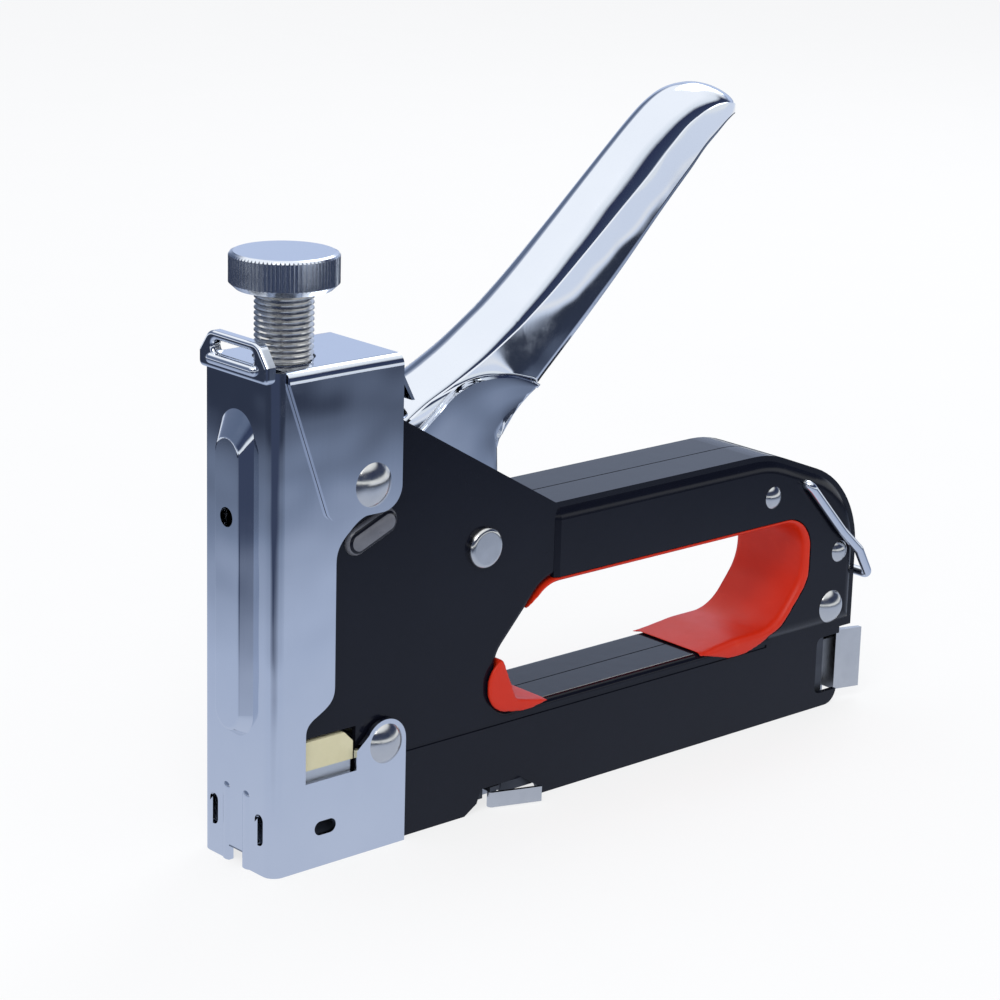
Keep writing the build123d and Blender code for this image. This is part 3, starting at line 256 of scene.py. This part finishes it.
def nickel():
    """Nickel-plated fasteners: bright, with fine turning marks and small pits."""
    dull, bright = (0.58, 0.58, 0.57), (0.72, 0.71, 0.69)

    def colour(tree):
        return tree.blend(tree.noise(260, 4, 0.6), dull, bright)

    def rough(tree):
        return 0.13 + (tree.noise(500, 4, 0.6) - 0.35).held() * 0.30

    def bumps(tree):
        return tree.bump(tree.noise(900, 3, 0.6), 0.05, 0.1 * MM)

    return finish_of("nickel", colour, rough, bumps, metal=1.0)


def plain_steel(name, dark, light, least_rough, grain):
    """Steel sheet, rod or wire with drawing lines along it."""

    def colour(tree):
        return tree.blend(tree.noise(160, 4, 0.6, grain), dark, light)

    def rough(tree):
        return least_rough + tree.noise(420, 4, 0.6, grain) * 0.22

    def bumps(tree):
        return tree.bump(tree.noise(1100, 2, 0.5, grain), 0.15, 0.2 * MM)

    return finish_of(name, colour, rough, bumps, metal=1.0)


def red_plastic():
    """Moulded red liner: satin, with a fine spark-eroded texture and slight scuffs."""
    deep, bright, scuffed = (0.56, 0.018, 0.004), (0.70, 0.030, 0.006), (0.74, 0.07, 0.03)

    def colour(tree):
        base = tree.blend(tree.noise(70, 4, 0.6), deep, bright)
        scuffs = (tree.noise(240, 5, 0.7) - 0.62).held() * 1.6
        return tree.blend(scuffs, base, scuffed)

    def rough(tree):
        return 0.30 + tree.noise(300, 4, 0.6) * 0.20

    def bumps(tree):
        grain = tree.noise(3200, 2, 0.5) + tree.noise(400, 2, 0.5) * 0.4
        return tree.bump(grain, 0.12, 0.12 * MM)

    return finish_of("red_plastic", colour, rough, bumps, ior=1.36)


def cream_plastic():
    """Cream buffer block, a little yellowed and waxy."""
    yellowed, pale = (0.60, 0.55, 0.33), (0.76, 0.72, 0.50)

    def colour(tree):
        return tree.blend(tree.noise(140, 4, 0.6), yellowed, pale)

    def rough(tree):
        return 0.42 + tree.noise(500, 3, 0.5) * 0.2

    def bumps(tree):
        return tree.bump(tree.noise(900, 3, 0.6), 0.2, 0.2 * MM)

    return finish_of("cream_plastic", colour, rough, bumps, ior=1.48)


LONG_GRAIN = (0.06, 1.0, 1.0)
EVEN_GRAIN = (1.0, 1.0, 1.0)
finishes = {
    "body_paint": body_paint(),
    # painted highlight: the pressed buttons' paint, lightened to grey
    "button_highlight_paint": button_highlight_paint(),
    "chrome": chrome(),
    "knob_chrome": chrome("knurled_chrome", 0.13),
    "nickel": nickel(),
    "liner": red_plastic(),
    "buffer": cream_plastic(),
    "steel": plain_steel(
        "zinc_steel", (0.34, 0.35, 0.37), (0.52, 0.53, 0.55), 0.28, LONG_GRAIN
    ),
    "bright_zinc": plain_steel(
        "bright_zinc", (0.58, 0.61, 0.64), (0.80, 0.83, 0.86), 0.34, LONG_GRAIN
    ),
    "dark_steel": plain_steel(
        "oiled_steel", (0.060, 0.064, 0.072), (0.13, 0.135, 0.15), 0.36, LONG_GRAIN
    ),
    "spring_steel": plain_steel(
        "spring_wire", (0.24, 0.23, 0.22), (0.42, 0.41, 0.40), 0.26, EVEN_GRAIN
    ),
}


# ---------------------------------------------------------------- dressing the frame
OWN_FINISH = {"tension_knob": "knob_chrome", "bumper_bracket": "bright_zinc"}
EDGE_ROUNDING = [               # pieces, width in mm, segments, least angle in degrees
    (("shell_left", "shell_right"), 0.35, 3, 35.0),
    (("catch_tab_left", "catch_tab_right", "tail_clip"), 0.25, 3, 35.0),
    (("top_cap", "nose_cover"), 0.18, 2, 50.0),
]
LINER_CELL = 0.36               # mm between the points of the softened liner
LINER_SMOOTHING = 16            # rounds of smoothing that take its edges off


def dress(piece, finish):
    """Give a piece one finish."""
    piece.data.materials.clear()
    piece.data.materials.append(finishes[finish])


def round_edges(piece, width, segments, angle):
    """Rounded pressing edges on top of the frame's own mesh."""
    bevel = piece.modifiers.new("rolled edges", "BEVEL")
    bevel.width = width * MM
    bevel.segments = segments
    bevel.limit_method = "ANGLE"
    bevel.angle_limit = math.radians(angle)
    bevel.use_clamp_overlap = True
    bevel.harden_normals = True


def soften(piece, cell, rounds):
    """Soft moulded edges: the frame's own mesh, remeshed finely and smoothed."""
    remesh = piece.modifiers.new("moulding", "REMESH")
    remesh.mode = "VOXEL"
    remesh.voxel_size = cell * MM
    remesh.use_smooth_shade = True
    smooth = piece.modifiers.new("soft edges", "SMOOTH")
    smooth.factor = 0.5
    smooth.iterations = rounds


def dress_frame():
    """Finish every piece of the frame, and round or soften the edges that show."""
    for entry in frame["record"]["subparts"]:
        name = entry["node"]
        dress(nodes[name], OWN_FINISH.get(name, entry["material_slot"]))
    for names, width, segments, angle in EDGE_ROUNDING:
        for name in names:
            round_edges(nodes[name], width, segments, angle)
    soften(nodes["grip_liner"], LINER_CELL, LINER_SMOOTHING)


# ---------------------------------------------------------------- building pieces
def piece_of(name, shape, finish):
    """Turn a shape into a smooth piece of the scene with one finish."""
    mesh = bpy.data.meshes.new(name)
    shape.to_mesh(mesh)
    shape.free()
    for face in mesh.polygons:
        face.use_smooth = True
    piece = bpy.data.objects.new(name, mesh)
    bpy.context.scene.collection.objects.link(piece)
    dress(piece, finish)
    return piece


def skin_rows(shape, rows, flip=False):
    """Faces between open rows that have the same number of points."""
    for first, second in zip(rows, rows[1:]):
        for k in range(len(first) - 1):
            corners = (first[k], first[k + 1], second[k + 1], second[k])
            shape.faces.new(corners[::-1] if flip else corners)


def skin_rings(shape, rings):
    """Faces between closed rings that have the same number of points."""
    skin_rows(shape, [ring + ring[:1] for ring in rings])


def smooth_row(knots, between):
    """Points of a smooth line through the knots, with some more between each pair."""
    row = []
    for index in range(len(knots) - 1):
        before = knots[max(index - 1, 0)]
        start, end = knots[index], knots[index + 1]
        after = knots[min(index + 2, len(knots) - 1)]
        for step in range(between):
            t = step / between
            row.append(tuple(
                0.5 * (
                    2 * b
                    + (c - a) * t
                    + (2 * a - 5 * b + 4 * c - d) * t**2
                    + (3 * b - a - 3 * c + d) * t**3
                )
                for a, b, c, d in zip(before, start, end, after)
            ))
    row.append(tuple(knots[-1]))
    return row


def even_row(knots, count):
    """Points at even distances along the straight runs between the knots."""
    reach = [0.0]
    for start, end in zip(knots, knots[1:]):
        reach.append(reach[-1] + math.dist(start, end))
    row = []
    for step in range(count):
        goal = reach[-1] * step / (count - 1)
        run = max(i for i in range(len(reach) - 1) if reach[i] <= goal + 1e-9)
        share = (goal - reach[run]) / (reach[run + 1] - reach[run])
        row.append(tuple(a + (b - a) * share for a, b in zip(knots[run], knots[run + 1])))
    return row


def held(value, low=0.0, high=1.0):
    return min(high, max(low, value))


# ---------------------------------------------------------------- squeeze lever
# All lever sizes are in mm, in the tool's own X and Z.
LEVER_SHEET = 1.1
LEVER_STATIONS = [              # crest x, z; fall to the crease; half width; lower edge x, z
    (119.2, 127.6, 0.3, 0.1, 119.0, 127.1),
    (118.8, 129.0, 0.7, 2.6, 118.3, 127.5),
    (117.4, 130.7, 1.4, 5.0, 116.4, 127.9),
    (115.2, 132.2, 2.2, 6.7, 114.0, 127.9),
    (112.2, 133.4, 3.0, 7.4, 111.6, 126.9),
    (108.5, 133.9, 3.8, 7.5, 109.2, 125.0),
    (103.5, 133.3, 4.8, 7.5, 105.9, 122.3),
    (99.0, 131.1, 4.9, 7.5, 102.4, 118.7),
    (94.0, 127.4, 5.2, 7.5, 98.2, 114.7),
    (88.0, 122.3, 5.4, 7.5, 93.0, 109.6),
    (80.0, 115.2, 5.0, 7.5, 86.0, 102.5),
    (72.0, 108.1, 4.6, 7.5, 78.7, 95.5),
    (65.0, 102.1, 4.3, 7.5, 71.6, 89.0),
    (59.6, 97.8, 4.0, 7.5, 65.6, 83.6),
    (58.0, 96.6, 3.9, 7.5, 64.0, 82.2),
    (56.6, 95.6, 3.8, 7.5, 62.9, 82.7),
    (50.0, 91.2, 3.3, 7.5, 57.0, 84.7),
    (43.0, 87.4, 2.9, 7.5, 49.5, 85.3),
    (37.0, 84.6, 2.7, 7.5, 43.2, 83.7),
    (33.0, 82.2, 2.5, 7.5, 38.2, 80.0),
    (30.4, 80.4, 2.3, 7.5, 34.7, 77.2),
    (27.6, 78.2, 1.8, 7.5, 31.2, 74.2),
    (25.3, 75.9, 1.8, 7.5, 28.2, 71.6),
]
WAIST_STATION = 14              # from here down, the cheek continues the side wall
STATION_STEPS = 6               # sections from one station to the next
SECTION_STEPS = 12              # rows from crest to crease, and again down the wall
CREASE_SHARE = 0.895            # of the half width, where the dome ends
DOME_ROUND = 0.985              # how near the dome comes to standing upright at the crease
DOME_FLAT_SHARE = 0.34
CREASE_STEP = 0.10              # the wall starts this far below the crease
ROLLED_DEPTH = 7.0              # how far down the wall is rolled outwards
ROLLED_LEAN = 0.085 / 9.0       # inward lean at the crease, per mm of rolled wall
ROUNDER_FROM, ROUNDER_OVER = 50.0, 22.0     # x where the roll turns from straight to round
CHEEK_EDGE = [                  # the cheek's lower outline, from the waist round the pivot boss
    (64.0, 82.2), (59.8, 78.8), (56.6, 75.5), (54.2, 71.3), (53.5, 66.5), (55.2, 60.0),
    (57.3, 53.6), (55.2, 48.0), (50.3, 46.0), (45.4, 48.0), (43.7, 50.6), (36.0, 61.0),
    (28.2, 71.6),
]
CHEEK_LEVELS = [0.0, 0.015, 0.06, 0.12, 0.25, 0.4, 0.55, 0.7, 0.85, 1.0]
CHEEK_STEP = 0.14               # how far the cheek is set in behind the wall
CHEEK_DISH = 0.30               # how much deeper its middle is
WAIST_FADE, HEEL_FADE = 16, 34  # points over which the step grows from either end
JOINING = 0.004                 # points nearer than this are one
SLIVER = 0.001


def dome_drop(share):
    """Fall of the pressed dome from its crest, 0 to 1, steepest beside the crease."""
    steep = (1 - math.sqrt(1 - (DOME_ROUND * share) ** 2)) / (1 - math.sqrt(1 - DOME_ROUND**2))
    return DOME_FLAT_SHARE * share**2 + (1 - DOME_FLAT_SHARE) * steep


def lever_section(station, normal):
    """One cross section of the lever, from the middle of its crest to its lower edge."""
    x, z, fall, half, low_x, low_z = station
    section = []
    for step in range(SECTION_STEPS + 1):
        share = math.sin(math.pi / 2 * step / SECTION_STEPS)
        drop = fall * dome_drop(share)
        section.append((x - normal[0] * drop, half * CREASE_SHARE * share, z - normal[1] * drop))
    foot_drop = fall + CREASE_STEP
    foot_x, foot_z = x - normal[0] * foot_drop, z - normal[1] * foot_drop
    length = math.dist((foot_x, foot_z), (low_x, low_z))
    rolled = min(ROLLED_DEPTH, length)
    lean = half * ROLLED_LEAN * rolled
    roll = 1.0 + 0.8 * held((x - ROUNDER_FROM) / ROUNDER_OVER)
    crowding = 0.75 + 0.3333 * roll
    for step in range(SECTION_STEPS + 1):
        share = (step / SECTION_STEPS) ** crowding
        rest = max(0.0, 1 - share * length / rolled)
        across = half - lean * rest**roll
        down_x, down_z = foot_x + (low_x - foot_x) * share, foot_z + (low_z - foot_z) * share
        section.append((down_x, across, down_z))
    return section


def lever_sections():
    """Cross sections from the lever's tip down to its nose end, square to its crest."""
    stations = smooth_row(LEVER_STATIONS, STATION_STEPS)
    sections = []
    for index, station in enumerate(stations):
        ahead = stations[max(index - 1, 0)]
        behind = stations[min(index + 1, len(stations) - 1)]
        run = (ahead[0] - behind[0], ahead[1] - behind[1])
        size = math.hypot(*run)
        sections.append(lever_section(station, (-run[1] / size, run[0] / size)))
    return sections


def crease_along(shape, row):
    """Keep the edges of a row of points sharp."""
    for start, end in zip(row, row[1:]):
        shape.edges.get((start, end)).smooth = False


def lever_back(shape, sections):
    """The domed back and both side walls, with a sharp crease along each side of the dome."""
    rows = []
    for section in sections:
        row = [shape.verts.new((x, -y, z)) for x, y, z in reversed(section)]
        row += [shape.verts.new(point) for point in section[1:]]
        rows.append(row)
    skin_rows(shape, rows)
    crest = len(sections[0]) - 1
    for offset in (SECTION_STEPS, SECTION_STEPS + 1):
        for column in (crest - offset, crest + offset):
            crease_along(shape, [row[column] for row in rows])


def lever_cheek(shape, sections, side):
    """One cheek, set in a little behind the wall and slightly dished, down to the pivot boss."""
    seam = [section[-1] for section in sections[WAIST_STATION * STATION_STEPS:]]
    outline = even_row(smooth_row(CHEEK_EDGE, 6), len(seam))
    last = len(seam) - 1
    rows = []
    for level in CHEEK_LEVELS:
        dish = CHEEK_DISH * math.sin(math.pi * min(1.0, level * 1.1)) ** 2
        inset = (CHEEK_STEP if level > 0 else 0.0) + dish
        row = []
        for column, ((x, y, z), (edge_x, edge_z)) in enumerate(zip(seam, outline)):
            fade = min(1.0, column / WAIST_FADE) * min(1.0, (last - column) / HEEL_FADE)
            point = (x + (edge_x - x) * level, side * (y - inset * fade), z + (edge_z - z) * level)
            row.append(shape.verts.new(point))
        rows.append(row)
    skin_rows(shape, rows, flip=side < 0)
    for row in rows[:2]:
        crease_along(shape, row)


def squeeze_lever():
    """Lever pressed from one sheet: domed back, creases, rolled side walls, set-in cheeks."""
    sections = lever_sections()
    shape = bmesh.new()
    lever_back(shape, sections)
    for side in (-1, 1):
        lever_cheek(shape, sections, side)
    bmesh.ops.remove_doubles(shape, verts=shape.verts[:], dist=JOINING)
    bmesh.ops.dissolve_degenerate(shape, dist=SLIVER, edges=shape.edges[:])
    for vertex in shape.verts:
        vertex.co = ((vertex.co.x + FRAME_SHIFT) * MM, vertex.co.y * MM, vertex.co.z * MM)
    shape.normal_update()
    crest = max(
        (face for face in shape.faces if abs(face.normal.x) < 0.9),
        key=lambda face: face.calc_center_median().z,
    )
    if crest.normal.z < 0:
        bmesh.ops.reverse_faces(shape, faces=shape.faces[:])
    lever = piece_of("lever_pressing", shape, "chrome")
    sheet = lever.modifiers.new("sheet", "SOLIDIFY")
    sheet.thickness = LEVER_SHEET * MM
    sheet.offset = -1.0
    sheet.use_even_offset = False
    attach(lever, "squeeze_lever")
    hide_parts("lever")


# ---------------------------------------------------------------- springs
TURN_STEPS = 28                 # rings of points in one turn of a coil
WIRE_SIDES = 10
X_AXIS, Z_AXIS = 0, 2
DRIVE_WIRE, DRIVE_TURNS = 1.9, 7.5
PUSHER_WIRE, PUSHER_TURNS = 0.5, 16


def coil_wire(name, node, axis, wire, turns):
    """Wire coil that fills the length of its node along one axis, as a closed tube."""
    low, high = (Vector(corner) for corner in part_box(node))
    centre = (low + high) / 2
    length = high[axis] - low[axis] - wire
    first_across, second_across = (axis + 1) % 3, (axis + 2) % 3
    radius = (high[first_across] - low[first_across] - wire) / 2
    along = Vector((0, 0, 0))
    along[axis] = 1.0
    steps = int(turns * TURN_STEPS)
    tube = bmesh.new()
    rings = []
    for step in range(steps + 1):
        turn = 2 * math.pi * turns * step / steps
        out = Vector((0, 0, 0))
        out[first_across] = math.cos(turn)
        out[second_across] = math.sin(turn)
        middle = centre + out * radius
        middle[axis] = low[axis] + wire / 2 + length * step / steps
        ring = []
        for side in range(WIRE_SIDES):
            round_wire = 2 * math.pi * side / WIRE_SIDES
            way = out * math.cos(round_wire) + along * math.sin(round_wire)
            ring.append(tube.verts.new(middle + way * wire / 2))
        rings.append(ring)
    skin_rings(tube, rings)
    tube.faces.new(rings[0])
    tube.faces.new(rings[-1])
    bmesh.ops.recalc_face_normals(tube, faces=tube.faces[:])
    coil = piece_of(name, tube, "spring_steel")
    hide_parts(node)
    return coil, low, high


def springs():
    """The heavy spring that the lever draws together, and the light one behind the pusher."""
    drive, low, high = coil_wire("drive_coil", "drive_spring", Z_AXIS, DRIVE_WIRE * MM, DRIVE_TURNS)
    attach(drive, "housing")
    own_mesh(drive)
    light, low, high = coil_wire(
        "pusher_coil", "pusher_spring", X_AXIS, PUSHER_WIRE * MM, PUSHER_TURNS
    )
    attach(light, "drawer")
    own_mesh(light)


# ---------------------------------------------------------------- pressed buttons of the body
BODY_FACE = 9.0                 # mid plane to the outer face of the plates
BUTTON_ENDS = ((19.7, 59.7), (26.3, 62.4))
BUTTON_HALF = 2.6
BUTTON_HEIGHT = 1.45
BUTTON_SUNK = 0.05              # its edge starts this far inside the plate
BUTTON_TIP = 0.02               # half width of its last ring
BUTTON_RINGS = 10
BUTTON_SIDES = 48


def pressed_button(name, side):
    """Rounded oval button pressed out of the plate behind the cap's rivet."""
    start, end = BUTTON_ENDS
    span = (end[0] - start[0], end[1] - start[1])
    length = math.hypot(*span)
    along = (span[0] / length, span[1] / length)
    button = bmesh.new()
    rings = []
    for ring in range(BUTTON_RINGS):
        level = math.pi / 2 * ring / (BUTTON_RINGS - 1)
        last = ring == BUTTON_RINGS - 1
        reach = BUTTON_TIP if last else BUTTON_HALF * math.cos(level) ** 0.8
        height = BODY_FACE - BUTTON_SUNK + BUTTON_HEIGHT * math.sin(level)
        points = []
        for step in range(BUTTON_SIDES):
            turn = 2 * math.pi * step / BUTTON_SIDES
            far = length if math.cos(turn) > 0 else 0.0
            ahead = far + reach * math.cos(turn)
            aside = reach * math.sin(turn)
            x = start[0] + along[0] * ahead - along[1] * aside
            z = start[1] + along[1] * ahead + along[0] * aside
            points.append(button.verts.new(((x + FRAME_SHIFT) * MM, side * height * MM, z * MM)))
        rings.append(points)
    skin_rings(button, rings)
    button.faces.new(rings[-1])
    bmesh.ops.recalc_face_normals(button, faces=button.faces[:])
    # the button's lighter grey finish is a painted highlight
    piece = piece_of(name, button, "button_highlight_paint")
    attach(piece, "housing")


# ---------------------------------------------------------------- stage, light and camera
WHITE = (1.0, 1.0, 1.0)
FLOOR_HALF = 9.0                # metres
FLOOR_DROP = 0.05               # mm below the piece's lowest point
FLOOR_WHITENING = 0.75          # share of plain white that the camera sees in the floor
TOOL_REACH = (0.080, 0.015)     # the tool's half length and half width, metres
LIT_SHEET = [                   # the floor in reflections, by metres from the tool
    (0.00, (0.56, 0.62, 0.76)),
    (0.10, (0.48, 0.55, 0.71)),
    (0.20, (0.22, 0.27, 0.38)),
    (0.33, (0.035, 0.045, 0.075)),
    (0.57, (0.030, 0.038, 0.060)),
    (0.67, (0.75, 0.83, 0.98)),
    (0.80, WHITE),
    (1.00, (0.80, 0.86, 0.98)),
]
DARK_CORNER = (0.050, 0.065, 0.115)
CEILING = (1.15, 1.17, 1.20)
# The studio in reflections, from straight down at 0 over the horizon at 0.5 to straight up at 1.
ROOM_BEHIND = [
    (0.00, (0.80, 0.84, 0.92)),
    (0.50, (0.30, 0.36, 0.50)),
    (0.55, (0.55, 0.64, 0.86)),
    (0.67, (0.60, 0.70, 0.92)),
    (0.70, (0.30, 0.36, 0.50)),
    (0.73, (0.60, 0.68, 0.86)),
    (0.77, CEILING),
    (1.00, CEILING),
]
ROOM_AHEAD = [
    (0.00, (0.60, 0.66, 0.80)),
    (0.50, (0.95, 0.98, 1.00)),
    (0.56, (0.90, 0.95, 1.00)),
    (0.60, (0.05, 0.07, 0.13)),
    (0.80, (0.03, 0.04, 0.09)),
    (0.85, (0.90, 0.95, 1.00)),
    (0.92, CEILING),
    (1.00, CEILING),
]
ROOM_ASIDE = [
    (0.00, (0.80, 0.84, 0.92)),
    (0.47, (0.34, 0.40, 0.54)),
    (0.55, (0.17, 0.21, 0.31)),
    (0.70, (0.13, 0.17, 0.26)),
    (0.76, (0.45, 0.50, 0.62)),
    (0.79, CEILING),
    (1.00, CEILING),
]
SOFT_LIGHT = (0.72, 0.74, 0.78)
LAMP_AIM = (0.0, 0.0, 0.06)
CAMERA_TURN = (-42.16, 16.17, 1.58)         # azimuth, elevation and roll in degrees
CAMERA_TARGET = (-0.01564, 0.0, 0.05793)
CAMERA_DISTANCE = 0.56332
SENSOR_WIDTH = 36.0
LENS_RATIO = 2.9678             # focal length over the sensor's width


def stage_floor():
    """Plain pale table: white to the eye; in reflections a lit sheet in a dark room."""
    mesh = bpy.data.meshes.new("floor")
    corners = [(-1, -1), (1, -1), (1, 1), (-1, 1)]
    mesh.from_pydata([(x * FLOOR_HALF, y * FLOOR_HALF, 0) for x, y in corners], [], [(0, 1, 2, 3)])
    floor = bpy.data.objects.new("floor", mesh)
    floor.location.z = -FLOOR_DROP * MM
    bpy.context.scene.collection.objects.link(floor)
    material = bpy.data.materials.new("pale_floor")
    mesh.materials.append(material)
    tree = Tree(material)
    pale = tree.blend(tree.noise(30, 3, 0.5), (0.90, 0.90, 0.91), (0.93, 0.93, 0.94))
    matt = tree.node("BsdfDiffuse", inputs={"Color": pale})
    along = (tree.coordinate("X").size() - TOOL_REACH[0]).held()
    across = (tree.coordinate("Y").size() - TOOL_REACH[1]).held()
    sheet = tree.bands((along * along + across * across) ** 0.5, LIT_SHEET)
    past_nose = ((-0.095 - tree.coordinate("X")) * 9).held()
    past_side = ((-0.022 - tree.coordinate("Y")) * 14).held()
    sheet = tree.blend(past_nose * past_side, sheet, DARK_CORNER)
    whitened = tree.ray("Camera") * FLOOR_WHITENING
    lit = tree.node("MixShader", inputs={0: whitened, 1: matt, 2: tree.glow(WHITE)})
    whole = tree.node("MixShader", inputs={0: tree.ray("Glossy"), 1: lit, 2: tree.glow(sheet)})
    tree.node("OutputMaterial", inputs={"Surface": whole})


def studio_world():
    """White room for the camera, soft light on the piece, and a banded studio in reflections."""
    world = bpy.data.worlds.new("studio")
    bpy.context.scene.world = world
    tree = Tree(world)
    height = tree.coordinate("Z", "Generated") * 0.5 + 0.5
    to_the_rear = ((tree.coordinate("X", "Generated") - 0.40) * 8).held()
    to_far_side = (tree.coordinate("Y", "Generated") * 4 + 0.5).held()
    rear = tree.blend(
        to_the_rear, tree.bands(height, ROOM_ASIDE), tree.bands(height, ROOM_BEHIND)
    )
    room = tree.blend(to_far_side, tree.bands(height, ROOM_AHEAD), rear)
    mirrored = (tree.ray("Glossy") + tree.ray("Transmission")).held()
    light = tree.blend(mirrored, SOFT_LIGHT, room)
    colour = tree.blend(tree.ray("Camera"), light, WHITE)
    background = tree.node("Background", inputs={"Color": colour, "Strength": 1.0})
    tree.node("OutputWorld", inputs={"Surface": background})


def soft_lamp(name, place, power, width, height, colour):
    """Rectangular soft box aimed at the middle of the tool."""
    data = bpy.data.lights.new(name, "AREA")
    data.shape = "RECTANGLE"
    data.size = width
    data.size_y = height
    data.energy = power
    data.color = colour
    lamp = bpy.data.objects.new(name, data)
    lamp.location = place
    lamp.rotation_euler = (Vector(LAMP_AIM) - Vector(place)).to_track_quat("-Z", "Y").to_euler()
    bpy.context.scene.collection.objects.link(lamp)


def camera():
    """Camera left of the nose and a little above it."""
    azimuth, elevation, roll = (math.radians(angle) for angle in CAMERA_TURN)
    back = Vector((
        math.sin(azimuth) * math.cos(elevation),
        -math.cos(azimuth) * math.cos(elevation),
        math.sin(elevation),
    ))
    side = Vector((math.cos(azimuth), math.sin(azimuth), 0.0))
    up = back.cross(side)
    right = side * math.cos(roll) + up * math.sin(roll)
    top = up * math.cos(roll) - side * math.sin(roll)
    data = bpy.data.cameras.new("camera")
    data.sensor_width = SENSOR_WIDTH
    data.lens = SENSOR_WIDTH * LENS_RATIO
    data.clip_start = 0.05
    data.clip_end = 40.0
    viewer = bpy.data.objects.new("camera", data)
    turn = Matrix((right, top, back)).transposed().to_4x4()
    place = Vector(CAMERA_TARGET) + back * CAMERA_DISTANCE
    viewer.matrix_world = Matrix.Translation(place) @ turn
    bpy.context.scene.collection.objects.link(viewer)
    bpy.context.scene.camera = viewer


dress_frame()
squeeze_lever()
springs()
pressed_button("button_left", -1)
pressed_button("button_right", 1)
stage_floor()
studio_world()
soft_lamp("key", (-0.55, -0.45, 0.85), 3.2, 0.55, 0.40, (1.0, 0.99, 0.97))
soft_lamp("rim", (0.65, 0.35, 0.75), 2.0, 0.40, 0.60, (0.93, 0.96, 1.0))
camera()
bpy.context.scene.view_settings.view_transform = "Standard"
